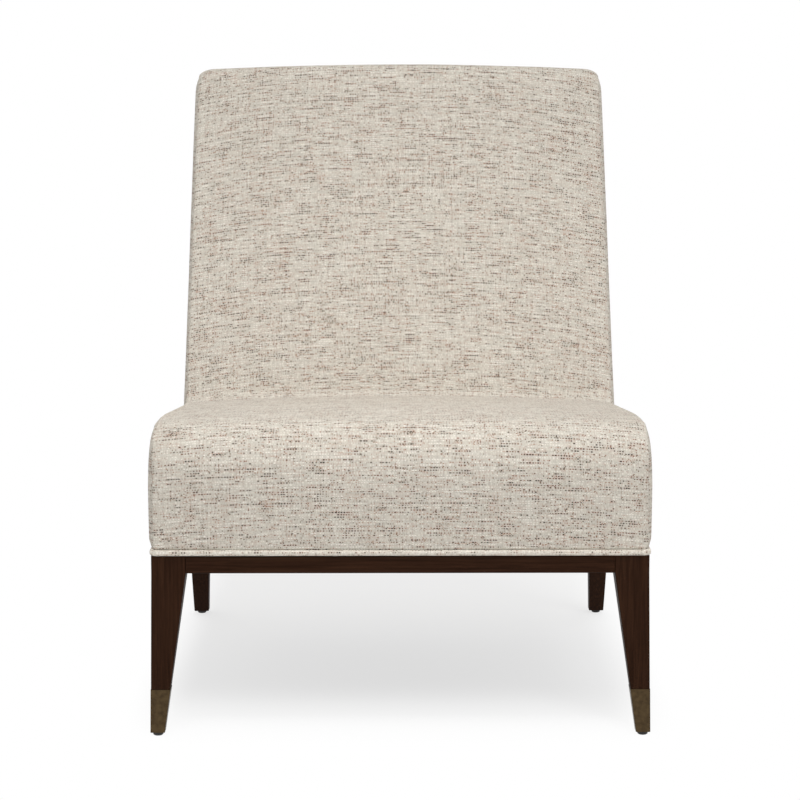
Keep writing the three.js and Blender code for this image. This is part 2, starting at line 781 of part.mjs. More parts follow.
// Hardwood frame of the seat and back
function addBodyFrame() {
  const frontRail = boxBetween(
    v3(-frameHalf, frontRailSetback, frameFoot),
    v3(frameHalf, frontRailSetback + frameRailThickness, frameRailTop),
  );
  addPiece(body, "seat_rail_front", frontRail, "frameWood");
  const rearRail = boxBetween(
    v3(clearance - postInnerHalf, rearRailRear - frameRailThickness, frameFoot),
    v3(postInnerHalf - clearance, rearRailRear, frameRailTop),
  );
  addPiece(body, "seat_rail_rear", rearRail, "frameWood");

  const sideRail = acrossPrism(
    [
      v2(sideRailFront, frameFoot),
      v2(sideRailRear, frameFoot),
      v2(postFrontAt(frameRailTop) - clearance, frameRailTop),
      v2(sideRailFront, frameRailTop),
    ],
    frameInnerHalf,
    frameHalf,
  );
  const pilots = screwPlaces.map((y) =>
    uprightBar(screwX, y, frameFoot - cutOverrun, screwTip + clearance, screwRadius + clearance));
  addPair(body, (side) => `seat_rail_${side}`, cut(sideRail, pilots), "frameWood");

  const post = acrossPrism(
    [
      v2(postFrontAt(frameFoot), frameFoot),
      v2(postRearAt(frameFoot), frameFoot),
      v2(postRearAt(topRailTop), topRailTop),
      v2(postFrontAt(topRailTop), topRailTop),
    ],
    postInnerHalf,
    frameHalf,
  );
  addPair(body, (side) => `back_post_${side}`, post, "frameWood");

  const crossRails = [
    ["back_lower_rail", lowerRailFoot, lowerRailFoot + lowerRailHeight],
    ["back_top_rail", topRailTop - topRailHeight, topRailTop],
  ];
  for (const [name, low, high] of crossRails) {
    const outline = [
      v2(postFrontAt(low), low),
      v2(postFrontAt(low) + frameRailThickness, low),
      v2(postFrontAt(high) + frameRailThickness, high),
      v2(postFrontAt(high), high),
    ];
    const rail = acrossPrism(outline, clearance - postInnerHalf, postInnerHalf - clearance);
    addPiece(body, name, rail, "frameWood");
  }

  const cornerX = frameInnerHalf - clearance;
  const block = uprightPrism(
    [
      v2(cornerX, sideRailFront),
      v2(cornerX, sideRailFront + frameBlockLeg),
      v2(cornerX - frameBlockLeg, sideRailFront),
    ],
    frameFoot,
    frameFoot + frameBlockHeight,
  );
  addPair(body, (side) => `seat_corner_block_${side}`, block, "frameWood");
}

// One sinuous spring: a wire that zigzags back from rail to rail in U bends
function springPath(centreX) {
  const pitch = (springRear - springFront) / springBends;
  const bend = pitch / 2;
  const straightHalf = springHalfWidth - bend;
  const points = [v3(centreX - straightHalf, springFront, springEndHeight)];
  for (let i = 0; i < springBends; i++) {
    const side = i % 2 ? -1 : 1;
    const middle = springFront + (i + 0.5) * pitch;
    for (let step = 0; step <= bendSteps; step++) {
      const angle = Math.PI * (step / bendSteps - 0.5);
      const y = middle + bend * Math.sin(angle);
      const x = centreX + side * (straightHalf + bend * Math.cos(angle));
      points.push(v3(x, y, springEndHeight + archAt(y)));
    }
  }
  const endSide = springBends % 2 ? -1 : 1;
  points.push(v3(centreX - endSide * straightHalf, springRear, springEndHeight));
  return points;
}

// A clip: a plate nailed to the rail, curled up and back over the spring's end bar
function clipGeometry() {
  const outline = new THREE.Shape();
  const openAngle = (3 * Math.PI) / 4;
  outline.moveTo(-clipPlate, 0);
  outline.lineTo(0, 0);
  outline.absarc(0, clipReach, clipReach, -Math.PI / 2, openAngle, false);
  outline.lineTo(clipBore * Math.cos(openAngle), clipReach + clipBore * Math.sin(openAngle));
  outline.absarc(0, clipReach, clipBore, openAngle, -Math.PI / 2, true);
  outline.lineTo(-clipPlate, clipThickness);
  return acrossPrism(outline, -clipWidth / 2, clipWidth / 2);
}

function addSprings() {
  springPlaceShares.forEach((share, i) => {
    const x = share * deckRaisedHalf;
    const number = i + 1;
    const spring = wire(springPath(x), springWireRadius, springWireSides);
    addPiece(body, `seat_spring_${number}`, spring, "springSteel");
    const frontClip = addPiece(body, `spring_clip_front_${number}`, clipGeometry(), "zincSteel");
    frontClip.position.set(x, springFront, frameRailTop + clearance);
    const rearClip = addPiece(body, `spring_clip_rear_${number}`, clipGeometry(), "zincSteel");
    rearClip.position.set(x, springRear, frameRailTop + clearance);
    rearClip.rotation.z = Math.PI;
  });
}

// Webbing bands stretched across the front of the back frame
function addWebbing() {
  const low = lowerRailFoot + lowerRailHeight + webbingWidth / 2;
  const high = topRailTop - topRailHeight - webbingWidth / 2;
  const halfRise = (webbingWidth / 2) * Math.cos(backRake);
  webbingPlaceShares.forEach((share, i) => {
    const middle = THREE.MathUtils.lerp(low, high, share);
    const bottom = middle - halfRise;
    const top = middle + halfRise;
    const outline = [
      v2(postFrontAt(bottom) - clearance - webbingThickness, bottom),
      v2(postFrontAt(bottom) - clearance, bottom),
      v2(postFrontAt(top) - clearance, top),
      v2(postFrontAt(top) - clearance - webbingThickness, top),
    ];
    const band = acrossPrism(outline, -frameHalf, frameHalf);
    addPiece(body, `back_webbing_${i + 1}`, band, "webbing");
  });
}

function addDustCover() {
  const half = baseInnerHalf + dustLap;
  const sheet = boxBetween(
    v3(-half, baseRailDepth - dustLap, baseTop + clearance),
    v3(half, baseDepth - baseRailDepth + dustLap, baseTop + clearance + dustThickness),
  );
  addPiece(body, "dust_cover", sheet, "blackCambric");
}

// Rail of the show-wood base between two legs, with a tenon at each end, drawn along x
function tenonedRail(length, tenon) {
  const half = length / 2;
  const middleY = baseRailDepth / 2;
  const middleZ = floorToRail + baseRailHeight / 2;
  const plain = (x) =>
    chamferedRing(0, baseRailDepth, floorToRail, baseTop, woodEdge, (y, z) => v3(x, y, z));
  const tongue = (x) =>
    chamferedRing(
      middleY - tenonThickness / 2,
      middleY + tenonThickness / 2,
      middleZ - tenonHeight / 2,
      middleZ + tenonHeight / 2,
      woodEdge,
      (y, z) => v3(x, y, z),
    );
  return loft([
    tongue(-half - tenon), tongue(-half), plain(-half), plain(half), tongue(half), tongue(half + tenon),
  ]);
}

// How far the side rails' tenons go in before they would meet the front or rear rail's
const sideTenonLength = frontLegTop - (baseRailDepth + tenonThickness) / 2 - tenonSpacing;
const crossMortiseDepth = tenonLength + clearance;
const sideMortiseDepth = sideTenonLength + clearance;

// The two mortises in a leg's inner faces, one for the cross rail and one for the side rail
function mortises(innerX, innerY, crossY, towardsMiddle) {
  const reach = tenonThickness / 2 + clearance;
  const middleZ = floorToRail + baseRailHeight / 2;
  const lowZ = middleZ - tenonHeight / 2 - clearance;
  const highZ = middleZ + tenonHeight / 2 + clearance;
  const sideX = baseHalf - baseRailDepth / 2;
  const farY = innerY - towardsMiddle * sideMortiseDepth;
  const nearY = innerY + towardsMiddle * cutOverrun;
  return [
    boxBetween(
      v3(innerX - cutOverrun, crossY - reach, lowZ),
      v3(innerX + crossMortiseDepth, crossY + reach, highZ),
    ),
    boxBetween(
      v3(sideX - reach, Math.min(farY, nearY), lowZ),
      v3(sideX + reach, Math.max(farY, nearY), highZ),
    ),
  ];
}

// A ring of the front leg: square, tapered on its two inner faces, and flared a little
function frontLegRing(z, inset, edge) {
  const share = THREE.MathUtils.clamp((floorToRail - z) / (floorToRail - glideHeight), 0, 1);
  const size = THREE.MathUtils.lerp(frontLegTop, frontLegFoot, share);
  const outerX = baseHalf + frontLegFlare * share;
  const place = (x, y) => v3(x, y, z);
  return chamferedRing(outerX - size + inset, outerX - inset, inset, size - inset, edge, place);
}

const nailBore = (x, y) =>
  uprightBar(x, y, 0, glideHeight + glideNailLength + clearance, glideNailRadius + clearance);
const ferruleTop = glideHeight + ferruleHeight;
const frontFootX = baseHalf + frontLegFlare - frontLegFoot / 2;
const frontFootY = frontLegFoot / 2;
const rearFootX = baseHalf + rearLegFlare - rearLegFootWidth / 2;
const rearFootY = baseDepth + rearLegKick - rearLegFootDepth / 2;

function addFrontLegs() {
  const tenonInset = ferruleWall - ferruleProud + clearance;
  const leg = loft([
    frontLegRing(glideHeight + ferruleFloor + clearance, tenonInset, woodEdge),
    frontLegRing(ferruleTop + clearance, tenonInset, woodEdge),
    frontLegRing(ferruleTop + clearance, 0, woodEdge),
    frontLegRing(floorToRail, 0, woodEdge),
    frontLegRing(baseTop, 0, woodEdge),
  ]);
  const cuts = mortises(baseHalf - frontLegTop, frontLegTop, baseRailDepth / 2, 1);
  cuts.push(nailBore(frontFootX, frontFootY));
  addPair(base, (side) => `front_leg_${side}`, cut(leg, cuts), "espressoWood");

  const ferrule = loft([
    frontLegRing(glideHeight, -ferruleProud, woodEdge),
    frontLegRing(ferruleTop, -ferruleProud, woodEdge),
    frontLegRing(ferruleTop, ferruleWall - ferruleProud, woodEdge),
    frontLegRing(glideHeight + ferruleFloor, ferruleWall - ferruleProud, woodEdge),
  ]);
  const bored = cut(ferrule, [nailBore(frontFootX, frontFootY)]);
  addPair(base, (side) => `ferrule_${side}`, bored, "antiqueBronze");
}

// The rear leg sweeps back in a shallow curve and tapers in width and depth
function rearLegRing(share) {
  const z = THREE.MathUtils.lerp(floorToRail, glideHeight, share);
  const sweep = rearLegBendShare * share + (1 - rearLegBendShare) * share ** 2;
  const width = THREE.MathUtils.lerp(rearLegTopWidth, rearLegFootWidth, share);
  const depth = THREE.MathUtils.lerp(rearLegTopDepth, rearLegFootDepth, share);
  const outerX = baseHalf + rearLegFlare * share;
  const rearY = baseDepth + rearLegKick * sweep;
  const place = (x, y) => v3(x, y, z);
  return chamferedRing(outerX - width, outerX, rearY - depth, rearY, woodEdge, place);
}

function addRearLegs() {
  const rings = [...rearLegLevelShares].reverse().map(rearLegRing);
  rings.push(rings.at(-1).map((p) => v3(p.x, p.y, baseTop)));
  const crossY = baseDepth - baseRailDepth / 2;
  const cuts = mortises(baseHalf - rearLegTopWidth, baseDepth - rearLegTopDepth, crossY, -1);
  cuts.push(nailBore(rearFootX, rearFootY));
  addPair(base, (side) => `rear_leg_${side}`, cut(loft(rings), cuts), "espressoWood");
}

// Nailed glides, turned about their own axis
function addGlides() {
  const nailTop = glideHeight + glideNailLength;
  const discTop = glideHeight - clearance;
  const profile = [
    v2(0, 0),
    v2(glideFlatRadius, 0),
    v2(glideRadius, glideRound),
    v2(glideRadius, discTop),
    v2(glideNailRadius, discTop),
    v2(glideNailRadius, nailTop - 2 * glideNailRadius),
    v2(0, nailTop),
  ];
  const feet = [["front", frontFootX, frontFootY], ["rear", rearFootX, rearFootY]];
  for (const [end, x, y] of feet) {
    const glide = new THREE.LatheGeometry(profile, glideSides).rotateX(Math.PI / 2).translate(x, y, 0);
    addPair(base, (side) => `glide_${end}_${side}`, glide, "glidePlastic");
  }
}

function addBaseRails() {
  const frontLength = baseWidth - 2 * (frontLegTop + clearance);
  const frontRail = tenonedRail(frontLength, tenonLength);
  addPiece(base, "base_rail_front", frontRail, "espressoWood");

  const rearLength = baseWidth - 2 * (rearLegTopWidth + clearance);
  const rearRail = addPiece(
    base, "base_rail_rear", tenonedRail(rearLength, tenonLength), "espressoWood",
  );
  rearRail.position.y = baseDepth;
  rearRail.rotation.z = Math.PI;

  const sideLength = baseDepth - frontLegTop - rearLegTopDepth - 2 * clearance;
  const middleY = (frontLegTop + baseDepth - rearLegTopDepth) / 2;
  const sideRail = tenonedRail(sideLength, sideTenonLength)
    .rotateZ(Math.PI / 2)
    .translate(baseHalf, middleY, 0);
  const bores = screwPlaces.flatMap((y) => [
    uprightBar(screwX, y, floorToRail - cutOverrun, baseTop + cutOverrun, screwRadius + clearance),
    uprightBar(
      screwX, y, floorToRail - cutOverrun, screwHeadTop + clearance, screwHeadRadius + clearance,
    ),
  ]);
  addPair(base, (side) => `base_rail_${side}`, cut(sideRail, bores), "espressoWood");
}

// Glued blocks in the base's corners, notched round the legs where these stand proud inside
function addBaseBlocks() {
  const corners = [
    ["front", frontLegTop - baseRailDepth, frontLegTop - baseRailDepth, baseRailDepth, 1],
    [
      "rear", rearLegTopWidth - baseRailDepth, rearLegTopDepth - baseRailDepth,
      baseDepth - baseRailDepth, -1,
    ],
  ];
  for (const [end, legX, legY, railY, towardsMiddle] of corners) {
    const notch = legX > 0 && legY > 0
      ? [
          v2(clearance, legY + clearance),
          v2(legX + clearance, legY + clearance),
          v2(legX + clearance, clearance),
        ]
      : [v2(clearance, clearance)];
    const outline = [v2(baseBlockLeg, clearance), v2(clearance, baseBlockLeg), ...notch].map((p) =>
      v2(baseInnerHalf - p.x, railY + towardsMiddle * p.y));
    const high = baseTop - baseBlockDrop;
    const block = uprightPrism(outline, high - baseBlockHeight, high);
    addPair(base, (side) => `base_corner_block_${end}_${side}`, block, "frameWood");
  }
}

addFrontLegs();
addRearLegs();
addGlides();
addBaseRails();
addBaseBlocks();
addScrews();
addBodyFrame();
addSprings();
addWebbing();
addDeckCloth();
addSeatFoam();
addBackFoam();
addSidePadding();
addCovers();
addWelt();
addDustCover();

// The chair stands on the floor with its middle over the origin
const bounds = new THREE.Box3().setFromObject(chair);
chair.position.y = -(bounds.min.y + bounds.max.y) / 2;

export default chair;
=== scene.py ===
"""A slipper chair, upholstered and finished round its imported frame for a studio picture.

The frame gives the wood base, the ferrules, the glides, the hidden frame and the room of every
soft part. Here the covers, the welt and the padding are made as an upholsterer makes them, and
each part gets the finish of its real material. Lengths are metres, Z is up, the chair faces -Y.
"""

import json
import logging
import math
from dataclasses import dataclass, field, replace
from enum import Enum

import bpy
import numpy as np
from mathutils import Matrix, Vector, noise

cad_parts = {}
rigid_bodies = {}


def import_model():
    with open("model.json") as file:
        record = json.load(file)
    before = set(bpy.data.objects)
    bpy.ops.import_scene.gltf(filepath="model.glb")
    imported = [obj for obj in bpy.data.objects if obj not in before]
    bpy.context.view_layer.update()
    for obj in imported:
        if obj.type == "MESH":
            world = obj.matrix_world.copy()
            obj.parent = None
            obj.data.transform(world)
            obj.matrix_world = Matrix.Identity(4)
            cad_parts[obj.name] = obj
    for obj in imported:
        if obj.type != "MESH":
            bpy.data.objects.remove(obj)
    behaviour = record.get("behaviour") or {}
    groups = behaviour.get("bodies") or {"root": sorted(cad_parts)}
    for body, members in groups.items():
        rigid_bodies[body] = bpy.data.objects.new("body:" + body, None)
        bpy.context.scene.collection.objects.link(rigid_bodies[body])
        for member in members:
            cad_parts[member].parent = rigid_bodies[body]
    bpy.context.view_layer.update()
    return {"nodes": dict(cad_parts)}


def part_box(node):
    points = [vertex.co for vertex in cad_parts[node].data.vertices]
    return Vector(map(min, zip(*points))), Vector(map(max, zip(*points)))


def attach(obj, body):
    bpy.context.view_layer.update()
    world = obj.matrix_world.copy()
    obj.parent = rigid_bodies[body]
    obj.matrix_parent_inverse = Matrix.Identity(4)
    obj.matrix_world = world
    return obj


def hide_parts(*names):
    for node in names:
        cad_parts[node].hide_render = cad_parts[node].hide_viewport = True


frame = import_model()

logging.basicConfig(level=logging.INFO, format="%(levelname)s %(message)s")
log = logging.getLogger("slipper_chair")

MM = 0.001
BODY = "root"
WEAVE_MAP = "weave"

Colour = tuple[float, float, float, float]
Point = tuple[float, float, float]
Rows = np.ndarray

WHITE: Colour = (1.0, 1.0, 1.0, 1.0)


def linear(hex_colour: str) -> Colour:
    """Turns an sRGB hex colour into the linear values that shaders take.

    Args:
        hex_colour: The colour, written as #rrggbb.

    Returns:
        Red, green and blue in linear light, and an alpha of 1.
    """
    values = []
    for start in (1, 3, 5):
        share = int(hex_colour[start : start + 2], 16) / 255
        low = share <= 0.04045
        values.append(share / 12.92 if low else ((share + 0.055) / 1.055) ** 2.4)
    return (*values, 1.0)


def add_node(
    tree: bpy.types.NodeTree,
    kind: str,
    inputs: dict | None = None,
    into: bpy.types.NodeSocket | None = None,
    **settings: object,
) -> bpy.types.Node:
    """Adds a node to a shader, with its settings, its values and its links.

    Args:
        tree: The shader's node tree.
        kind: The node's type name.
        inputs: Values or output sockets by the name or number of the input they go to.
        into: The input of another node that its first output goes to.
        settings: Properties of the node itself.

    Returns:
        The new node.
    """
    node = tree.nodes.new(kind)
    for key, value in settings.items():
        setattr(node, key, value)
    for key, value in (inputs or {}).items():
        if isinstance(value, bpy.types.NodeSocket):
            tree.links.new(value, node.inputs[key])
        else:
            node.inputs[key].default_value = value
    if into:
        tree.links.new(node.outputs[0], into)
    return node


def blend_colours(ramp: bpy.types.Node, stops: dict[float, str]) -> None:
    """Sets a colour ramp's stops.

    Args:
        ramp: The colour ramp node.
        stops: sRGB hex colours by their place from 0 to 1, in rising order.
    """
    elements = ramp.color_ramp.elements
    for extra in range(len(stops) - 2):
        elements.new(0.5)
    for element, (place, hex_colour) in zip(elements, stops.items()):
        element.position = place
        element.color = linear(hex_colour)


def select_only(piece: bpy.types.Object) -> None:
    """Makes one object the only one selected, and the active one."""
    for other in bpy.context.scene.objects:
        other.select_set(False)
    piece.select_set(True)
    bpy.context.view_layer.objects.active = piece


def smooth_step(value: Rows) -> Rows:
    """Eases a number from 0 to 1, level at both ends."""
    share = np.clip(value, 0.0, 1.0)
    return share * share * (3 - 2 * share)


class Side(Enum):
    """The two sides of the chair, by the sign of their x."""

    LEFT = -1
    RIGHT = 1


class GrainAxis(Enum):
    """The way the wood's grain runs, by the number of its axis."""

    ACROSS = 0
    BACKWARDS = 1
    UPRIGHT = 2


@dataclass(frozen=True)
class Finish:
    """The finish of a real material, made once and shared by the pieces that have it."""

    name: str

    def material(self) -> bpy.types.Material:
        """Gives the finish's material.

        Returns:
            The material, made when it is first asked for.
        """
        made = bpy.data.materials.get(self.name)
        if not made:
            made = bpy.data.materials.new(self.name)
            made.use_nodes = True
            self.draw(made.node_tree.nodes["Principled BSDF"])
        return made

    def draw(self, shader: bpy.types.Node) -> None:
        """Draws the finish on a new material's shader."""
        raise NotImplementedError

    def coat(
        self,
        shader: bpy.types.Node,
        pattern: bpy.types.NodeSocket,
        stops: dict[float, str],
        strength: float,
        relief: float,
        worn: tuple[bpy.types.NodeSocket, float, float] | None = None,
    ) -> None:
        """Colours and raises the surface by a pattern, and may vary its roughness.

        Args:
            shader: The material's shader.
            pattern: The pattern that the colour and the relief follow.
            stops: sRGB hex colours by the pattern's value, in rising order.
            strength: How much of the relief shows.
            relief: The relief's depth.
            worn: The pattern that the roughness follows, and its roughness low and high.
        """
        tree = shader.id_data
        tone = add_node(tree, "ShaderNodeValToRGB", {0: pattern}, shader.inputs["Base Color"])
        blend_colours(tone, stops)
        depth = {"Height": pattern, "Strength": strength, "Distance": relief}
        add_node(tree, "ShaderNodeBump", depth, shader.inputs["Normal"])
        if worn:
            cloud, low, high = worn
            ends = {"From Min": 0.3, "From Max": 0.7, "To Min": low, "To Max": high}
            gloss = shader.inputs["Roughness"]
            add_node(tree, "ShaderNodeMapRange", {"Value": cloud, **ends}, gloss)


@dataclass(frozen=True)
class SlubTweed(Finish):
    """An oatmeal cotton and linen tweed, woven plain from slubbed, mottled weft yarns.

    The eye sees a pale cloth with sparse dark dashes along the weft, which the warps break into
    dots, and a dull, slightly fuzzy surface.
    """

    name: str = "slub_tweed_oatmeal"
    # Knots of the ramp from the darkest fleck to the bleached yarn, grey-brown and rust
    grey_dyes: tuple[str, ...] = ("#1c140d", "#6f6154", "#afa79b", "#bdb7ac", "#c7c2b7", "#dfdad1")
    rust_dyes: tuple[str, ...] = ("#28130a", "#86604e", "#b9a698", "#c0b7ab", "#c8c2b6", "#dfdad1")
    knots: tuple[float, ...] = (0.1, 0.27, 0.38, 0.49, 0.6, 0.85)
    weft_pitch: float = 1.6 * MM
    warp_repeat: float = 3.75 * MM
    slub_length: float = 8.5 * MM
    fleck_length: float = 2.2 * MM
    streak_length: float = 32 * MM
    warp_slub_length: float = 45 * MM
    patch_length: float = 8 * MM
    patch_height: float = 5 * MM
    dye_length: float = 18 * MM
    fleck_weight: float = 1.1
    streak_weight: float = 1.04
    patch_weight: float = 0.25
    warp_weight: float = 0.3
    # How far the mix of the two dyes swings, and its level where the noise is 0
    dye_swing: float = 4.0
    dye_level: float = -1.55
    dip: float = 0.43
    wander: float = 7.0
    thread_edge: float = 0.05
    plain_yarn: float = 0.6
    ridge_height: float = 0.25
    relief: float = 0.3 * MM
    relief_shown: float = 0.25

    def draw(self, shader: bpy.types.Node) -> None:
        """Draws the weave by the piece's own weave map.

        Args:
            shader: The material's shader.
        """
        tree = shader.id_data
        weave = add_node(tree, "ShaderNodeUVMap", uv_map=WEAVE_MAP)
        split = add_node(tree, "ShaderNodeSeparateXYZ", {0: weave.outputs[0]})
        sockets = {"along": split.outputs[0], "across": split.outputs[1]}
        half = 0.5 * (1 + self.fleck_weight + self.streak_weight + self.patch_weight)
        half_edge = 0.5 * self.thread_edge
        # Far from its neighbours in the noise, each yarn gets its own slubs, flecks and streaks
        scaled = (
            ("yarns", "MULTIPLY", "across", 1 / self.weft_pitch),
            ("yarn", "FLOOR", "yarns"),
            ("apart", "MULTIPLY", "yarn", 17.37),
            ("apart_flecks", "ADD", "apart", 211.3),
            ("apart_streaks", "ADD", "apart", 523.7),
            ("apart_dyes", "ADD", "apart", 877.1),
            ("slub_x", "MULTIPLY", "along", 1 / self.slub_length),
            ("fleck_x", "MULTIPLY", "along", 1 / self.fleck_length),
            ("streak_x", "MULTIPLY", "along", 1 / self.streak_length),
            ("dye_x", "MULTIPLY", "along", 1 / self.dye_length),
            ("patch_x", "MULTIPLY", "along", 1 / self.patch_length),
            ("patch_y", "MULTIPLY", "across", 1 / self.patch_height),
            ("warps", "MULTIPLY", "along", 2 / self.warp_repeat),
            ("warp", "FLOOR", "warps"),
            ("warp_x", "MULTIPLY", "warp", 13.71),
            ("warp_y", "MULTIPLY", "across", 1 / self.warp_slub_length),
        )
        clouds = (
            ("slubs", "CLOUD", "slub_x", "apart", 1.0),
            ("flecks", "CLOUD", "fleck_x", "apart_flecks", 0.0),
            ("streaks", "CLOUD", "streak_x", "apart_streaks", 0.0),
            ("patches", "CLOUD", "patch_x", "patch_y", 1.0),
            ("warp_slubs", "CLOUD", "warp_x", "warp_y", 0.0),
            ("dyes", "CLOUD", "dye_x", "apart_dyes", 0.0),
        )
        # Warps cross over the weft and under it in turn, half a step on from yarn to yarn, and
        # each second yarn is plainer
        woven = (
            ("weft_1", "MULTIPLY_ADD", "flecks", self.fleck_weight, "slubs"),
            ("weft_2", "MULTIPLY_ADD", "streaks", self.streak_weight, "weft_1"),
            ("weft_3", "MULTIPLY_ADD", "patches", self.patch_weight, "weft_2"),
            ("above", "SUBTRACT", "weft_3", half),
            ("below", "MULTIPLY_ADD", "warp_slubs", self.warp_weight, -0.5 * self.warp_weight),
            ("phase", "MULTIPLY", "yarn", math.pi),
            ("rhythm", "MULTIPLY_ADD", "along", 2 * math.pi / self.warp_repeat, "phase"),
            ("wander", "MULTIPLY_ADD", "streaks", self.wander, "rhythm"),
            ("crossing", "SINE", "wander"),
            ("crossed", "MULTIPLY_ADD", "crossing", self.dip, 1 - self.dip),
            ("turn", "MULTIPLY", "yarns", 2 * math.pi),
            ("ridge", "COSINE", "turn"),
            ("thread", "MULTIPLY_ADD", "ridge", -half_edge, 1 - half_edge),
            ("second", "FLOORED_MODULO", "yarn", 2.0),
            ("fancy", "MULTIPLY_ADD", "second", -self.plain_yarn, 1.0),
            ("threaded", "MULTIPLY", "crossed", "thread"),
            ("cover", "MULTIPLY", "threaded", "fancy"),
            ("lift", "SUBTRACT", "above", "below"),
            ("shown", "MULTIPLY_ADD", "lift", "cover", "below"),
            ("woven", "ADD", "shown", 0.5),
            ("height", "MULTIPLY_ADD", "ridge", -self.ridge_height, "woven"),
            ("dyed", "MULTIPLY_ADD", "dyes", self.dye_swing, self.dye_level),
        )
        for name, operation, *terms in (*scaled, *clouds, *woven):
            inputs = {k: sockets.get(term, term) for k, term in enumerate(terms)}
            if operation == "CLOUD":
                detail = inputs.pop(2)
                at = add_node(tree, "ShaderNodeCombineXYZ", inputs).outputs[0]
                look = {"Vector": at, "Scale": 1.0, "Detail": detail, "Roughness": 0.6}
                cloud = add_node(tree, "ShaderNodeTexNoise", look, noise_dimensions="2D")
                sockets[name] = cloud.outputs["Fac"]
            else:
                result = add_node(tree, "ShaderNodeMath", inputs, operation=operation)
                sockets[name] = result.outputs[0]
        both = {0: sockets["dyed"]}
        for number, dyes in enumerate((self.grey_dyes, self.rust_dyes)):
            ramp = add_node(tree, "ShaderNodeValToRGB", {0: sockets["woven"]})
            blend_colours(ramp, dict(zip(self.knots, dyes)))
            both[6 + number] = ramp.outputs[0]
        mixed = add_node(tree, "ShaderNodeMix", both, data_type="RGBA", clamp_factor=True)
        tree.links.new(mixed.outputs[2], shader.inputs["Base Color"])
        depth = {
            "Height": sockets["height"],
            "Strength": self.relief_shown,
            "Distance": self.relief,
        }
        add_node(tree, "ShaderNodeBump", depth, shader.inputs["Normal"])
        shader.inputs["Roughness"].default_value = 0.95
        shader.inputs["Specular IOR Level"].default_value = 0.1
        shader.inputs["Sheen Weight"].default_value = 0.05
        shader.inputs["Sheen Roughness"].default_value = 0.5


@dataclass(frozen=True)
class StainedWood(Finish):
    """Close-grained hardwood, such as rubberwood or birch, brushed stain under satin lacquer.

    The stain is nearly black-brown; the grain shows as fine lighter streaks, and the lacquer
    gives soft, broad highlights along the eased edges.
    """

    name: str = "espresso_wood"
    pore: str = "#25150c"
    body: str = "#2d1b11"
    streak: str = "#362216"
    roughness_low: float = 0.38
    roughness_high: float = 0.5
    sheen_level: float = 0.03
    grain_width: float = 3.5 * MM
    grain_length: float = 110 * MM
    pore_width: float = 0.8 * MM
    pore_share: float = 1 / 6
    pore_weight: float = 0.45
    axis: GrainAxis = GrainAxis.ACROSS

    def along(self, axis: GrainAxis) -> "StainedWood":
        """Turns the grain to an axis, which the finish's name then gives."""
        return replace(self, name=f"{self.name}_{axis.name.lower()}", axis=axis)

    def draw(self, shader: bpy.types.Node) -> None:
        """Draws grain and pores by the piece's own coordinates.

        Args:
            shader: The material's shader.
        """
        tree = shader.id_data
        place = add_node(tree, "ShaderNodeTexCoord").outputs["Object"]
        clouds = []
        for width, length, detail, bend in (
            (self.grain_width, self.grain_length, 4.0, 0.6),
            (self.pore_width, self.grain_length * self.pore_share, 2.0, 0.0),
        ):
            scale = [1 / width] * 3
            scale[self.axis.value] = 1 / length
            run = add_node(tree, "ShaderNodeMapping", {"Vector": place, "Scale": scale})
            look = {"Vector": run.outputs[0], "Scale": 1.0, "Detail": detail, "Distortion": bend}
            clouds.append(add_node(tree, "ShaderNodeTexNoise", look).outputs["Fac"])
        grain, pores = clouds
        sums = {0: pores, 1: self.pore_weight, 2: grain}
        both = add_node(tree, "ShaderNodeMath", sums, operation="MULTIPLY_ADD").outputs[0]
        stops = {0.55: self.pore, 0.72: self.body, 0.95: self.streak}
        worn = (grain, self.roughness_low, self.roughness_high)
        self.coat(shader, both, stops, 0.12, 0.2 * MM, worn)
        shader.inputs["Specular IOR Level"].default_value = self.sheen_level


@dataclass(frozen=True)
class MottledFinish(Finish):
    """A plain material whose colour and roughness wander a little, as cast or moulded ones do."""

    dark: str
    light: str
    roughness_low: float
    roughness_high: float
    metallic: float = 0.0
    mottle: float = 6 * MM
    relief: float = 0.05 * MM

    def draw(self, shader: bpy.types.Node) -> None:
        """Draws the mottle by the piece's own coordinates.

        Args:
            shader: The material's shader.
        """
        tree = shader.id_data
        place = add_node(tree, "ShaderNodeTexCoord").outputs["Object"]
        look = {"Vector": place, "Scale": 1 / self.mottle, "Detail": 4.0, "Roughness": 0.6}
        patches = add_node(tree, "ShaderNodeTexNoise", look).outputs["Fac"]
        worn = (patches, self.roughness_low, self.roughness_high)
        self.coat(shader, patches, {0.35: self.dark, 0.65: self.light}, 0.3, self.relief, worn)
        shader.inputs["Metallic"].default_value = self.metallic


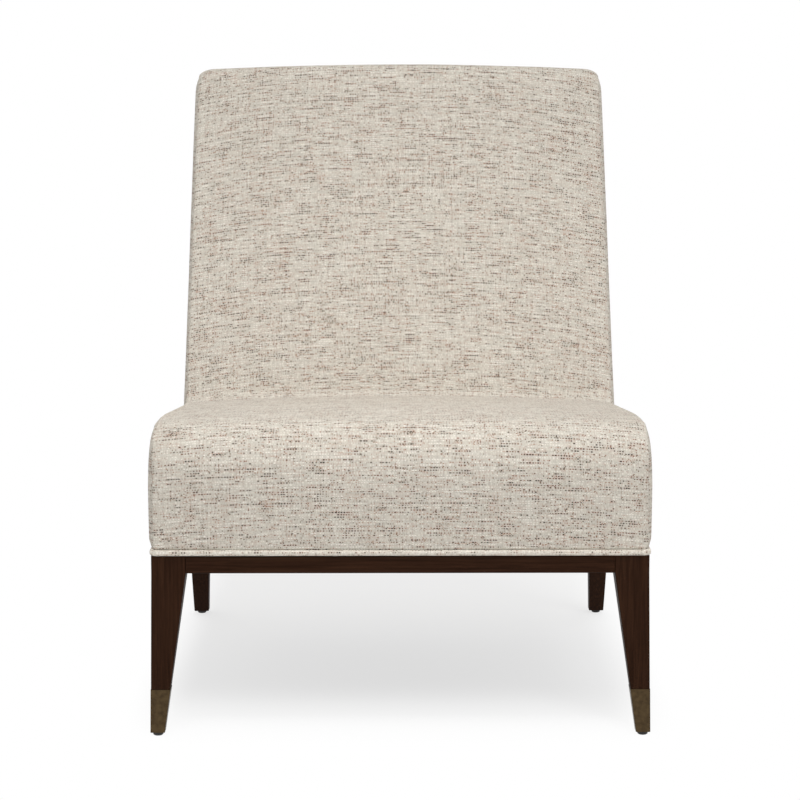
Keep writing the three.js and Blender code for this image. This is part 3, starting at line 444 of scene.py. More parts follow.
@dataclass(frozen=True)
class CrossedThreads(Finish):
    """A coarse or fine plain weave, seen as threads that cross at a thread's spacing."""

    thread: str
    gap: str
    spacing: float
    roughness: float = 0.9

    def draw(self, shader: bpy.types.Node) -> None:
        """Draws the threads by the piece's own coordinates.

        Args:
            shader: The material's shader.
        """
        tree = shader.id_data
        place = add_node(tree, "ShaderNodeTexCoord").outputs["Object"]
        split = add_node(tree, "ShaderNodeSeparateXYZ", {0: place})
        look = {"Vector": place, "Scale": 0.4 / self.spacing, "Detail": 3.0}
        cloud = add_node(tree, "ShaderNodeTexNoise", look).outputs["Fac"]
        sockets = {"x": split.outputs[0], "y": split.outputs[1], "cloud": cloud}
        for name, operation, *terms in (
            ("turn_x", "MULTIPLY", "x", 2 * math.pi / self.spacing),
            ("turn_y", "MULTIPLY", "y", 2 * math.pi / self.spacing),
            ("wave_x", "SINE", "turn_x"),
            ("wave_y", "SINE", "turn_y"),
            ("crossing", "MULTIPLY", "wave_x", "wave_y"),
            ("level", "MULTIPLY_ADD", "crossing", 0.25, "cloud"),
        ):
            inputs = {k: sockets.get(term, term) for k, term in enumerate(terms)}
            result = add_node(tree, "ShaderNodeMath", inputs, operation=operation)
            sockets[name] = result.outputs[0]
        stops = {0.3: self.gap, 0.6: self.thread}
        self.coat(shader, sockets["level"], stops, 0.4, self.spacing / 4)
        shader.inputs["Roughness"].default_value = self.roughness


TWEED = SlubTweed()
# The welt has the same tweed with fainter flecks, painted paler all over: painted light that
# offsets the shade on the round cord
WELT_TWEED = SlubTweed(
    name="slub_tweed_pale_stretch",
    grey_dyes=("#3d342c", "#94877a", "#c0b8ac", "#cdc6ba", "#d6d0c4", "#e6e0d6"),
    rust_dyes=("#48332a", "#a58878", "#c8b9ab", "#cec6ba", "#d6d0c4", "#e6e0d6"),
)
ESPRESSO = StainedWood()
# Kiln-dried maple or poplar, sawn and left bare: pale, dry, faintly streaked
BARE_WOOD = StainedWood(
    name="bare_hardwood",
    pore="#a3835a",
    body="#c6a676",
    streak="#dcc397",
    roughness_low=0.6,
    roughness_high=0.8,
    sheen_level=0.3,
    grain_width=5 * MM,
)
# Pressed brass, dipped to a dark bronze and rubbed back a little: brown with warm lights
BRONZE = MottledFinish(
    "rubbed_antique_bronze", "#453828", "#574833", 0.34, 0.42, metallic=1.0, mottle=7 * MM
)
# Moulded polyethylene glide: near black, dull
GLIDE = MottledFinish("moulded_glide_plastic", "#15120f", "#221d19", 0.45, 0.6, mottle=2 * MM)
# Bright zinc plate on steel screws and clips
ZINC = MottledFinish("zinc_plated_steel", "#9fa2a6", "#bfc2c4", 0.28, 0.42, metallic=1.0)
# Oil-tempered spring wire: blue-black, smooth
SPRING_WIRE = MottledFinish("oil_tempered_wire", "#3a3c40", "#55585c", 0.35, 0.5, metallic=1.0)
# Polyurethane foam: cream, open-celled, quite dull
FOAM = MottledFinish(
    "polyurethane_foam", "#ddd2b6", "#f1ead6", 0.92, 1.0, mottle=1.6 * MM, relief=0.5 * MM
)
# Needled cotton felt: off-white with grey fibres
FELT = MottledFinish(
    "needled_cotton_felt", "#cfccc4", "#efede8", 0.95, 1.0, mottle=3 * MM, relief=0.6 * MM
)
# Jute hessian over the springs, about four threads to the centimetre
HESSIAN = CrossedThreads("jute_hessian", "#c2a878", "#7d6640", 2.4 * MM)
# Black and brown jute webbing
WEBBING = CrossedThreads("jute_webbing", "#4a4640", "#22201d", 2.0 * MM)
# Non-woven black cambric, bonded in small squares
CAMBRIC = CrossedThreads("bonded_black_cambric", "#232324", "#0f0f10", 1.6 * MM, roughness=0.95)


@dataclass(frozen=True)
class SeamRun:
    """A straight stretch of the side seam or a rounded corner, with the section at its end."""

    name: str
    rows: int
    crown: float
    half: float
    roll: float
    drop: float
    facing: float


@dataclass
class SideSeam:
    """The line of the side seams in side view, from the welt over the chair to its outside back.

    Each row along it has its place, the way out of the padding, the cover's crown, half width
    and edge there, and the share of the side panel's lower edge that it faces.
    """

    front_face: float = 0.0
    base_half: float = 332 * MM
    cover_foot: float = 255 * MM
    seat_front_height: float = 421.5 * MM
    seat_front_setback: float = -3 * MM
    crease_setback: float = 518 * MM
    seat_bend_share: float = 0.29
    seat_bend_rise: float = 6 * MM
    crease_height: float = 379 * MM
    recline: float = math.radians(19.3)
    back_rake: float = math.radians(13.8)
    back_foot_setback: float = 642 * MM
    back_height: float = 885.2 * MM
    top_fall: float = 8 * MM
    top_seam_drop: float = 32 * MM
    front_roll_radius: float = 58 * MM
    seat_bend_radius: float = 1500 * MM
    crease_radius: float = 22 * MM
    top_front_radius: float = 26 * MM
    top_rear_radius: float = 22 * MM
    seat_half: float = 330 * MM
    crease_half: float = 326 * MM
    top_half: float = 316 * MM
    seat_edge: tuple[float, float] = (9 * MM, 4.5 * MM)
    back_edge: tuple[float, float] = (11 * MM, 6 * MM)
    top_edge: tuple[float, float] = (24 * MM, 13 * MM)
    foot_crown: float = 2 * MM
    front_crown: float = 6 * MM
    seat_crown: float = 8 * MM
    crease_crown: float = 10 * MM
    back_crown: float = 14 * MM
    top_crown: float = 9 * MM
    rear_crown: float = 3 * MM
    cloth: float = 1.6 * MM
    gap: float = 0.3 * MM
    rows: dict[str, Rows] = field(default_factory=dict)
    ends: dict[str, int] = field(default_factory=dict)

    def __post_init__(self) -> None:
        """Works out the rows."""
        seat = (self.seat_half, *self.seat_edge)
        crease = (self.crease_half, *self.seat_edge)
        top = (self.top_half, *self.top_edge)
        end = (self.top_half, *self.back_edge)
        runs = [
            SeamRun("front", 11, self.front_crown, *seat, 0.1),
            SeamRun("front_roll", 12, self.front_crown, *seat, 0.26),
            SeamRun("seat_front", 6, self.front_crown, *seat, 0.32),
            SeamRun("seat_bend", 10, self.seat_crown, *seat, 0.44),
            SeamRun("seat", 28, self.crease_crown, *crease, 0.84),
            SeamRun("crease", 8, self.crease_crown, *crease, 1.0),
            SeamRun("back", 46, self.back_crown, *end, 1.88),
            SeamRun("top_front", 8, self.top_crown, *top, 1.91),
            SeamRun("top", 6, self.top_crown, *top, 1.94),
            SeamRun("top_rear", 9, self.rear_crown, *top, 1.96),
            SeamRun("top_seam", 2, self.rear_crown, *end, 1.975),
        ]
        before = SeamRun("foot", 0, self.foot_crown, *seat, 0.03)
        table: list[list[float]] = []
        for run, (points, tangents) in zip(runs, self._curves(runs)):
            for step in range(1 if table else 0, run.rows + 1):
                share = step / run.rows
                section = [
                    getattr(before, key) + (getattr(run, key) - getattr(before, key)) * share
                    for key in ("crown", "half", "roll", "drop", "facing")
                ]
                point, tangent = points[step], tangents[step]
                table.append([*point, -tangent[1], tangent[0], *section])
            self.ends[run.name] = len(table) - 1
            before = run
        data = np.array(table)
        keys = ("y", "z", "out_y", "out_z", "crown", "half", "roll", "drop", "facing")
        self.rows = {key: data[:, k] for k, key in enumerate(keys)}
        steps = np.hypot(np.diff(self.rows["y"]), np.diff(self.rows["z"]))
        self.rows["arc"] = np.concatenate([[0.0], np.cumsum(steps)])

    def _curves(self, runs: list[SeamRun]) -> list[tuple[Rows, Rows]]:
        """Rounds the seam's corners.

        Args:
            runs: The runs, straight and rounded in turn.

        Returns:
            Points and directions along each run, one more than it has rows.
        """
        rear_y = self.back_line(self.back_height - self.top_fall)
        rear = np.array([rear_y, self.back_height - self.top_fall])
        fall = np.array([math.sin(self.back_rake), math.cos(self.back_rake)])
        rise = self.back_height - self.crease_height
        seat_front = np.array([self.seat_front_setback, self.seat_front_height])
        crease = np.array([self.crease_setback, self.crease_height])
        bend = seat_front + (crease - seat_front) * self.seat_bend_share
        corners = [
            (np.array([0.0, self.cover_foot]), 0.0),
            (seat_front, self.front_roll_radius),
            (bend + np.array([0.0, self.seat_bend_rise]), self.seat_bend_radius),
            (crease, self.crease_radius),
            (
                np.array([self.crease_setback + rise * math.tan(self.recline), self.back_height]),
                self.top_front_radius,
            ),
            (rear, self.top_rear_radius),
            (rear - self.top_seam_drop * fall, 0.0),
        ]
        curves = []
        start = corners[0][0]
        for number in range(1, len(corners)):
            at, radius = corners[number]
            into = (at - corners[number - 1][0]) / np.linalg.norm(at - corners[number - 1][0])
            straight = runs[2 * number - 2].rows
            if number == len(corners) - 1:
                stop = at
            else:
                after = corners[number + 1][0] - at
                out = after / np.linalg.norm(after)
                turn = math.atan2(into[0] * out[1] - into[1] * out[0], float(into @ out))
                stop = at - into * radius * math.tan(abs(turn) / 2)
            shares = np.linspace(0, 1, straight + 1)[:, None]
            curves.append((start + (stop - start) * shares, np.repeat([into], straight + 1, 0)))
            if number == len(corners) - 1:
                break
            across = np.array([-into[1], into[0]]) * math.copysign(radius, turn)
            centre = stop + across
            angles = np.linspace(0, turn, runs[2 * number - 1].rows + 1)
            cos, sin = np.cos(angles), np.sin(angles)
            arm = -across
            points = centre + np.stack(
                [cos * arm[0] - sin * arm[1], sin * arm[0] + cos * arm[1]], 1
            )
            tangents = np.stack(
                [cos * into[0] - sin * into[1], sin * into[0] + cos * into[1]], 1
            )
            curves.append((points, tangents))
            start = points[-1]
        return curves

    def back_line(self, z: float) -> float:
        """Gives how far back the outside back lies at a height."""
        return self.back_foot_setback + (z - self.cover_foot) * math.tan(self.back_rake)

    def place(self, x: Rows, y: Rows, z: Rows) -> Rows:
        """Puts points measured back from the base's front face in the chair's own place."""
        return np.stack(np.broadcast_arrays(x, y + self.front_face, z), -1)

    def skin(self, rows: dict[str, Rows], x: Rows, depth: Rows) -> Rows:
        """Gives points of a padded face.

        Args:
            rows: The section's values, one for each row.
            x: Places across the chair, a line of them for each row.
            depth: How far below the full cover each point lies.

        Returns:
            Points by row and column.
        """
        get = {key: rows[key][:, None] for key in rows}
        outward = np.abs(x)
        lift = get["crown"] * (1 - np.minimum(outward / get["half"], 1) ** 2)
        past = np.clip((outward - get["half"] + get["roll"]) / get["roll"], 0, 1)
        offset = lift - get["drop"] * (1 - np.sqrt(1 - past**2)) - depth
        return self.place(x, get["y"] + get["out_y"] * offset, get["z"] + get["out_z"] * offset)

    def under_seam(self) -> Rows:
        """Gives the side panels' upper edge, tucked below the turned edge of the cover."""
        rim = self.rows["drop"] + self.cloth + self.gap
        return np.stack([self.rows[key] - self.rows[f"out_{key}"] * rim for key in ("y", "z")], 1)


def columns_across(half: Rows, roll: Rows, flat: int, rolled: int) -> Rows:
    """Spreads a cover's columns across it, closer where its edge rolls over.

    Args:
        half: Half the width at each row.
        roll: How wide the rolled edge is at each row.
        flat: Columns on each half of the flat part.
        rolled: Columns in each rolled edge.

    Returns:
        Places from left to right, a line for each row.
    """
    level = np.linspace(0, 1, flat + 1) * (half - roll)[:, None]
    ease = np.sin(np.linspace(0, math.pi / 2, rolled + 1))[1:]
    rolling = (half - roll)[:, None] + ease * roll[:, None]
    right = np.concatenate([level, rolling], 1)
    return np.concatenate([-right[:, :0:-1], right], 1)


def sewn_sheet(name: str, points: Rows, weave: Rows, outward: Rows | Point) -> bpy.types.Object:
    """Makes one panel of cloth from its grid of points.

    Args:
        name: The piece's name.
        points: Points by row and column.
        weave: The cloth's own flat coordinates at the same points.
        outward: The way that the panel's middle faces.

    Returns:
        The new piece, with its face side out and its weave map.
    """
    rows, columns = points.shape[:2]
    number = np.arange(rows * columns).reshape(rows, columns)
    quads = np.stack(
        [number[:-1, :-1], number[:-1, 1:], number[1:, 1:], number[1:, :-1]], -1
    ).reshape(-1, 4)
    middle = points[rows // 2 : rows // 2 + 2, columns // 2 : columns // 2 + 2]
    facing = np.cross(middle[0, 1] - middle[0, 0], middle[1, 0] - middle[0, 0])
    if facing @ np.array(outward) < 0:
        quads = quads[:, ::-1]
    mesh = bpy.data.meshes.new(name)
    mesh.from_pydata(points.reshape(-1, 3).tolist(), [], quads.tolist())
    layer = mesh.uv_layers.new(name=WEAVE_MAP)
    flat = weave.reshape(-1, 2)
    corner = np.zeros(len(mesh.loops), int)
    mesh.loops.foreach_get("vertex_index", corner)
    layer.data.foreach_set("uv", flat[corner].astype(np.float32).ravel())
    mesh.validate()
    piece = bpy.data.objects.new(name, mesh)
    bpy.context.scene.collection.objects.link(piece)
    return piece


def points_of(piece: bpy.types.Object) -> Rows:
    """Reads a mesh's points."""
    flat = np.zeros(3 * len(piece.data.vertices))
    piece.data.vertices.foreach_get("co", flat)
    return flat.reshape(-1, 3)


def move_points(piece: bpy.types.Object, points: Rows) -> None:
    """Writes a mesh's points back."""
    piece.data.vertices.foreach_set("co", points.astype(np.float32).ravel())
    piece.data.update()


@dataclass(frozen=True)
class Swelling:
    """How the padding under a cover swells it once its borders are sewn."""

    pressure: float = 4.0
    frames: int = 20
    stiffness: float = 15.0
    quality: int = 6
    mass: float = 0.3
    firmness: float = 0.5
    sewn_down: float = 0.01 * MM

    def swell(self, piece: bpy.types.Object, full: Rows, limit: Rows) -> None:
        """Lets the padding push a cover out, and keeps the result.

        Args:
            piece: The cover, at the shape it has before it is filled.
            full: The way out at each point, of length 1.
            limit: How far each point may move. Where it may not, the cover is sewn down.
        """
        start = points_of(piece)
        sewn = piece.vertex_groups.new(name="sewn")
        sewn.add(np.flatnonzero(limit < self.sewn_down).tolist(), 1.0, "REPLACE")
        cloth = piece.modifiers.new("swelling", "CLOTH")
        cloth.settings.quality = self.quality
        cloth.settings.mass = self.mass
        cloth.settings.tension_stiffness = self.stiffness
        cloth.settings.compression_stiffness = self.stiffness
        cloth.settings.use_pressure = True
        cloth.settings.uniform_pressure_force = self.pressure
        cloth.settings.effector_weights.gravity = 0.0
        cloth.settings.vertex_group_mass = sewn.name
        cloth.point_cache.frame_start = 1
        cloth.point_cache.frame_end = self.frames
        for number in range(1, self.frames + 1):
            bpy.context.scene.frame_set(number)
        select_only(piece)
        bpy.ops.object.modifier_apply(modifier=cloth.name)
        bpy.context.scene.frame_set(1)
        moved = points_of(piece) - start
        # The padding lets no part of the cover sink in
        sunk = np.minimum(0.0, np.sum(moved * full, axis=1) - self.firmness * limit)
        moved -= sunk[:, None] * full
        reach = np.linalg.norm(moved, axis=1)
        share = np.minimum(1.0, limit / np.maximum(reach, 1e-9))
        move_points(piece, start + moved * share[:, None])
        log.info(
            "%s swelled by %.1f mm at most, %.0f%% of its points held back",
            piece.name,
            1000 * float((reach * share).max()),
            100 * float((share < 1).mean()),
        )


def put_on(piece: bpy.types.Object, node: str, finish: Finish) -> None:
    """Gives a piece its finish, and puts it on the chair in the place of a node.

    Args:
        piece: The piece.
        node: The frame's node that it stands for.
        finish: Its finish.
    """
    piece.data.materials.append(finish.material())
    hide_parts(node)
    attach(piece, BODY)
    log.info("%s: %d faces", piece.name, len(piece.data.polygons))


def thicken(piece: bpy.types.Object, wall: float) -> None:
    """Gives a sheet its thickness, inwards from its face side."""
    solid = piece.modifiers.new("wall", "SOLIDIFY")
    solid.thickness = wall
    solid.offset = -1.0
    bpy.ops.object.modifier_apply(modifier=solid.name)


@dataclass(frozen=True)
class Border:
    """How far a cover's turned-in border goes below its edges, and in from its sides."""

    foot: float = 2.2 * MM
    top: float = 2.2 * MM
    sides: float = 1.54 * MM
    inward: float = 0.99 * MM


@dataclass(frozen=True)
class Upholstery:
    """What every cover has in common: its cloth, its turned-in border and its filling."""

    cloth: float = 1.6 * MM
    unevenness: float = 0.35 * MM
    wave: float = 95 * MM
    swelling: Swelling = field(default_factory=Swelling)

    def uneven(self, points: Rows, weight: Rows) -> Rows:
        """Makes the padding under a cover a little uneven, as hand-laid padding is.

        Args:
            points: Points of the cover.
            weight: How much of the unevenness each point gets.

        Returns:
            How far out each point moves.
        """
        flat = points.reshape(-1, 3) / self.wave
        waves = np.array([noise.noise(Vector(p)) for p in flat])
        return self.unevenness * waves.reshape(points.shape[:-1]) * weight

    def cut(
        self, seam: SideSeam, rows: dict[str, Rows], x: Rows, reach: Rows, puff: Rows | float
    ) -> tuple[Rows, Rows]:
        """Works out a cover's shape before it is filled.

        Args:
            seam: The side seams that it is sewn to.
            rows: The section's values, one for each row.
            x: Places across the chair, a line of them for each row.
            reach: How far the filling may push each row out at its middle.
            puff: How far the cover stands off the section already.

        Returns:
            The points by row and column, and how far the filling may push each of them.
        """
        fall = np.maximum(1 - (np.abs(x) / rows["half"][:, None]) ** 2, 0)
        limit = reach[:, None] * fall
        limit[:, [0, -1]] = 0
        full = seam.skin(rows, x, np.zeros_like(x))
        bumps = self.uneven(full, smooth_step(limit / reach.max() * 2))
        return seam.skin(rows, x, limit - bumps - puff), limit

    def sew(
        self,
        name: str,
        node: str,
        shape: tuple[Rows, Rows, Rows],
        limit: Rows,
        border: Border,
        fill: float,
    ) -> None:
        """Sews a cover with its border turned in, lets the padding swell it, and puts it on.

        Args:
            name: The cover's name.
            node: The frame's node that it stands for.
            shape: Its points, its cloth's own flat coordinates and the way out at each point.
            limit: How far the filling may push each point.
            border: Its turned-in border.
            fill: Not used.
        """
        start, weave, out = (
            np.pad(grid, ((1, 1), (1, 1), (0, 0)), mode="edge") for grid in shape
        )
        limit = np.pad(limit, 1)
        facing = out[out.shape[0] // 2, out.shape[1] // 2]
        start[0] -= border.foot * out[0]
        start[-1] -= border.top * out[-1]
        start[:, [0, -1]] -= border.sides * out[:, [0, -1]]
        start[:, 0, 0] += border.inward
        start[:, -1, 0] -= border.inward
        piece = sewn_sheet(name, start, weave, facing)
        self.swelling.swell(piece, out.reshape(-1, 3), limit.ravel())
        select_only(piece)
        smoothing = piece.modifiers.new("smoothing", "SUBSURF")
        smoothing.levels = 1
        smoothing.render_levels = 1
        bpy.ops.object.modifier_apply(modifier=smoothing.name)
        thicken(piece, self.cloth)
        bpy.ops.object.shade_smooth()
        put_on(piece, node, TWEED)


@dataclass
class InsideCover:
    """The long cover: up the front, over the seat, up the inside back and over the top."""

    seam: SideSeam
    craft: Upholstery
    flat_columns: int = 30
    rolled_columns: int = 5
    swell: float = 4 * MM
    settle: float = 85 * MM
    front_puff: float = 3 * MM
    back_bow: float = 22 * MM
    front_bow: float = 10 * MM
    border: Border = Border(foot=0.7 * MM)

    def build(self) -> None:
        """Sews and fills the cover."""
        rows = self.seam.rows
        x = columns_across(rows["half"], rows["roll"], self.flat_columns, self.rolled_columns)
        arc = rows["arc"]
        crease = (self.seam.ends["seat"] + self.seam.ends["crease"]) // 2
        held = [0, self.seam.ends["top_rear"], len(arc) - 1, crease]
        nearest = np.min(np.abs(arc[:, None] - arc[held]), axis=1)
        rounding = np.clip(arc / arc[self.seam.ends["front_roll"]], 0, 1)
        puff = self.front_puff * np.sin(math.pi * rounding)[:, None]
        puff = puff * (1 - (np.abs(x) / rows["half"][:, None]) ** 6)
        reach = self.swell * smooth_step(nearest / self.settle)
        start, limit = self.craft.cut(self.seam, rows, x, reach, puff)
        out = np.stack([np.zeros_like(arc), rows["out_y"], rows["out_z"]], 1)
        shape = (start, self.weave(x, start), np.repeat(out[:, None], x.shape[1], 1))
        self.craft.sew("inside_cover", "front_cover", shape, limit, self.border, 0.9)

    def weave(self, x: Rows, points: Rows) -> Rows:
        """Lays the cloth's own coordinates over the cover.

        The weft bows a little towards the sides, where the cloth is pulled over the padding.

        Args:
            x: Places across the chair, a line for each row.
            points: The cover's points.

        Returns:
            Flat coordinates in metres, along the weft and along the warp.
        """
        rows = self.seam.rows
        steps = np.linalg.norm(np.diff(points, axis=1), axis=2)
        along = np.concatenate([np.zeros((len(x), 1)), np.cumsum(steps, 1)], 1)
        along -= along[:, [x.shape[1] // 2]]
        arc = rows["arc"]
        seat_start, seat_end = (arc[self.seam.ends[key]] for key in ("front_roll", "crease"))
        share = smooth_step((arc - seat_start) / (seat_end - seat_start))
        bow = self.front_bow + (self.back_bow - self.front_bow) * share
        across = arc[:, None] + bow[:, None] * (np.abs(x) / rows["half"][:, None]) ** 3
        return np.stack([along, across], -1)


@dataclass
class SidePanel:
    """A side panel of the cover, from the seam down to the welt and back to the outside back."""

    seam: SideSeam
    craft: Upholstery
    side: Side
    bulge: float = 7.5 * MM
    upper_run: float = 30 * MM
    foot_run: float = 15 * MM
    end_run: float = 20 * MM
    swell: float = 2.5 * MM
    spans: int = 26
    edge_crowding: float = 0.65
    border: Border = Border(sides=2.2 * MM, inward=0.0)

    def build(self) -> None:
        """Sews and fills the panel."""
        seam = self.seam
        arc = seam.rows["arc"]
        upper = seam.under_seam()
        lower = self.lower_edge(upper[-1])
        # Close together at both edges, where the panel turns into its seams
        even = np.linspace(0, 1, self.spans + 1)
        share = self.edge_crowding * (0.5 - 0.5 * np.cos(math.pi * even))
        share = share + (1 - self.edge_crowding) * even
        at = upper[:, None] + (lower - upper)[:, None] * share[None, :, None]
        run = np.linalg.norm(lower - upper, axis=1)[:, None]
        from_upper = np.minimum(1, share * run / self.upper_run)
        from_lower = np.minimum(1, (1 - share) * run / self.foot_run)
        fullness = (1 - (1 - from_upper) ** 2) * (1 - (1 - from_lower) ** 2)
        ends = smooth_step(arc / self.end_run) * smooth_step((arc[-1] - arc) / self.end_run)
        limit = self.swell * fullness * ends[:, None]
        out_x = seam.rows["half"][:, None] + self.bulge * fullness - limit
        start = seam.place(out_x, at[..., 0], at[..., 1])
        start[..., 0] += self.craft.uneven(start, limit / self.swell)
        start[..., 0] *= self.side.value
        out = np.zeros_like(start)
        out[..., 0] = self.side.value
        side = self.side.name.lower()
        names = (f"side_panel_{side}", f"side_cover_{side}")
        self.craft.sew(*names, (start, at, out), limit, self.border, 0.85)

    def lower_edge(self, top: Rows) -> Rows:
        """Gives the panel's lower edge, along the welt and then up the outside back.

        Args:
            top: Where the edge ends, under the top seam.

        Returns:
            A point of the edge for each row of the seam.
        """
        seam = self.seam
        rim = seam.back_edge[1] + seam.cloth + seam.gap
        front = np.array([0.0, seam.cover_foot])
        foot = np.array([seam.back_foot_setback - rim / math.cos(seam.back_rake), seam.cover_foot])
        facing = seam.rows["facing"][:, None]
        below = front + (foot - front) * np.minimum(facing, 1)
        return below + (top - foot) * np.maximum(facing - 1, 0)


@dataclass
class OutsideBack:
    """The outside back cover, sewn to the side panels and to the top of the inside cover."""

    seam: SideSeam
    craft: Upholstery
    panel_rows: int = 56
    flat_columns: int = 26
    rolled_columns: int = 4
    swell: float = 1.5 * MM
    settle: float = 60 * MM
    border: Border = Border()

    def build(self) -> None:
        """Sews and fills the cover."""
        seam = self.seam
        sin, cos = math.sin(seam.back_rake), math.cos(seam.back_rake)
        last = np.array([seam.rows["y"][-1], seam.rows["z"][-1]])
        top = last - seam.gap * np.array([sin, cos])
        foot = np.array([seam.back_foot_setback, seam.cover_foot])
        share = np.linspace(0, 1, self.panel_rows + 1)
        line = foot + (top - foot) * share[:, None]
        level = np.ones_like(share)
        rows = {
            "y": line[:, 0],
            "z": line[:, 1],
            "out_y": level * cos,
            "out_z": -level * sin,
            "crown": level * seam.rear_crown,
            "half": np.interp(share, seam.rows["facing"] - 1, seam.rows["half"]),
            "roll": level * seam.back_edge[0],
            "drop": level * seam.back_edge[1],
        }
        x = columns_across(rows["half"], rows["roll"], self.flat_columns, self.rolled_columns)
        arc = np.linalg.norm(line - foot, axis=1)
        reach = self.swell * smooth_step(np.minimum(arc, arc[-1] - arc) / self.settle)
        start, limit = self.craft.cut(seam, rows, x, reach, 0.0)
        weave = np.stack([x, np.broadcast_to(arc[:, None], x.shape)], -1)
        shape = (start, weave, np.broadcast_to(np.array([0.0, cos, -sin]), start.shape))
        names = ("outside_back_panel", "outside_back_cover")
        self.craft.sew(*names, shape, limit, self.border, 0.5)


@dataclass
class Welt:
    """A cotton cord covered with tweed cut along its weft, round the foot of the upholstery."""

    seam: SideSeam
    radius: float = 4.1 * MM
    side_proud: float = 4.6 * MM
    end_proud: float = 4.2 * MM
    corner_radius: float = 7 * MM
    corner_steps: int = 6
    height: float = 250.6 * MM
    step: float = 4 * MM
    sides: int = 20
    lumpiness: float = 0.12 * MM
    lump_length: float = 22 * MM
    # The cord lies pressed against the rail and the cover, so its section is a little square
    squareness: float = 0.76

    def path(self) -> tuple[Rows, Rows]:
        """Works out the cord's centreline.

        Returns:
            Points of the closed line in plan, and the direction out of it at each.
        """
        seam, inner = self.seam, self.corner_radius
        front_x = seam.seat_half + self.side_proud - self.radius
        rear_x = seam.crease_half + self.side_proud - self.radius
        front_y = self.radius - self.end_proud
        rear_y = seam.back_foot_setback - self.radius + self.end_proud
        corners = [(front_x, front_y), (rear_x, rear_y), (-rear_x, rear_y), (-front_x, front_y)]
        centres = [
            np.array([x - math.copysign(inner, x), y + (inner if y == front_y else -inner)])
            for x, y in corners
        ]
        points, outs = [], []
        for number, centre in enumerate(centres):
            first = math.radians(-90 + 90 * number)
            for angle in np.linspace(first, first + math.pi / 2, self.corner_steps + 1):
                out = np.array([math.cos(angle), math.sin(angle)])
                points.append(centre + inner * out)
                outs.append(out)
            begin, last_out = points[-1], outs[-1]
            stop = centres[(number + 1) % 4] + inner * last_out
            count = int(float(np.linalg.norm(stop - begin)) / self.step)
            for share in np.linspace(0, 1, count + 1)[1:-1]:
                points.append(begin + (stop - begin) * share)
                outs.append(last_out)
        return np.array(points), np.array(outs)

    def build(self) -> None:
        """Makes the covered cord."""
        line, outs = self.path()
        steps = np.linalg.norm(np.roll(line, -1, 0) - line, axis=1)
        along = np.concatenate([[0.0], np.cumsum(steps)])
        angles = np.linspace(0, 2 * math.pi, self.sides + 1)
        line = np.vstack([line, line[:1]])
        outs = np.vstack([outs, outs[:1]])
        lumps = np.array([noise.noise(Vector((*p, 0.3)) / self.lump_length) for p in line])
        lumps[-1] = lumps[0]
        radius = self.radius - self.lumpiness * (1 - lumps[:, None])
        cos, sin = np.cos(angles), np.sin(angles)
        reach = radius * np.sign(cos) * np.abs(cos) ** self.squareness
        rise = radius * np.sign(sin) * np.abs(sin) ** self.squareness
        across = line[:, :1] + outs[:, :1] * reach
        back = line[:, 1:] + outs[:, 1:] * reach + self.seam.front_face
        points = np.stack([across, back, self.height + rise], -1)
        around = self.radius * angles
        weave = np.stack(np.broadcast_arrays(along[:, None], around[None, :]), -1)
        piece = sewn_sheet("welt_cord", points, weave, (0, 0, 0))
        select_only(piece)
        bpy.ops.object.mode_set(mode="EDIT")
        bpy.ops.mesh.select_all(action="SELECT")
        bpy.ops.mesh.remove_doubles(threshold=0.01 * MM)
        bpy.ops.mesh.normals_make_consistent(inside=False)
        bpy.ops.object.mode_set(mode="OBJECT")
        bpy.ops.object.shade_smooth()
        put_on(piece, "welt", WELT_TWEED)


def merged_copy(node: str, name: str) -> bpy.types.Object:
    """Copies a node of the frame as one joined mesh.

    Args:
        node: The node's name.
        name: The copy's name.

    Returns:
        The copy, with its loose faces joined and its flat faces whole.
    """
    mesh = frame["nodes"][node].data.copy()
    piece = bpy.data.objects.new(name, mesh)
    bpy.context.scene.collection.objects.link(piece)
    mesh.materials.clear()
    select_only(piece)
    if mesh.has_custom_normals:
        bpy.ops.mesh.customdata_custom_splitnormals_clear()
    bpy.ops.object.mode_set(mode="EDIT")
    bpy.ops.mesh.select_all(action="SELECT")
    bpy.ops.mesh.remove_doubles(threshold=0.002 * MM)
    bpy.ops.mesh.dissolve_limited(angle_limit=math.radians(0.3))
    bpy.ops.object.mode_set(mode="OBJECT")
    return piece


@dataclass
class ShowWoodBase:
    """The visible wood base: legs and rails with eased edges, bronze ferrules and glides."""

    eased: float = math.radians(50)

    def ease(self, node: str, finish: Finish, slot: str) -> None:
        """Makes a node's eased edges read as round.

        Args:
            node: The node to copy.
            finish: The copy's finish.
            slot: Not used.
        """
        piece = merged_copy(node, f"{node}_finished")
        bpy.ops.object.shade_smooth_by_angle(angle=self.eased)
        shading = piece.modifiers.new("even_faces", "WEIGHTED_NORMAL")
        shading.keep_sharp = True
        bpy.ops.object.modifier_apply(modifier=shading.name)
        put_on(piece, node, finish)

    def build(self) -> None:
        """Finishes the legs, the rails, the ferrules and the glides."""
        for side in ("left", "right"):
            for leg in ("front_leg", "rear_leg"):
                self.ease(f"{leg}_{side}", ESPRESSO.along(GrainAxis.UPRIGHT), "espresso_wood")
            rail = ESPRESSO.along(GrainAxis.BACKWARDS)
            self.ease(f"base_rail_{side}", rail, "espresso_wood")
            self.ease(f"ferrule_{side}", BRONZE, "antique_bronze")
            for glide in ("glide_front", "glide_rear"):
                self.ease(f"{glide}_{side}", GLIDE, "glide_plastic")
        for end in ("front", "rear"):
            self.ease(f"base_rail_{end}", ESPRESSO.along(GrainAxis.ACROSS), "espresso_wood")


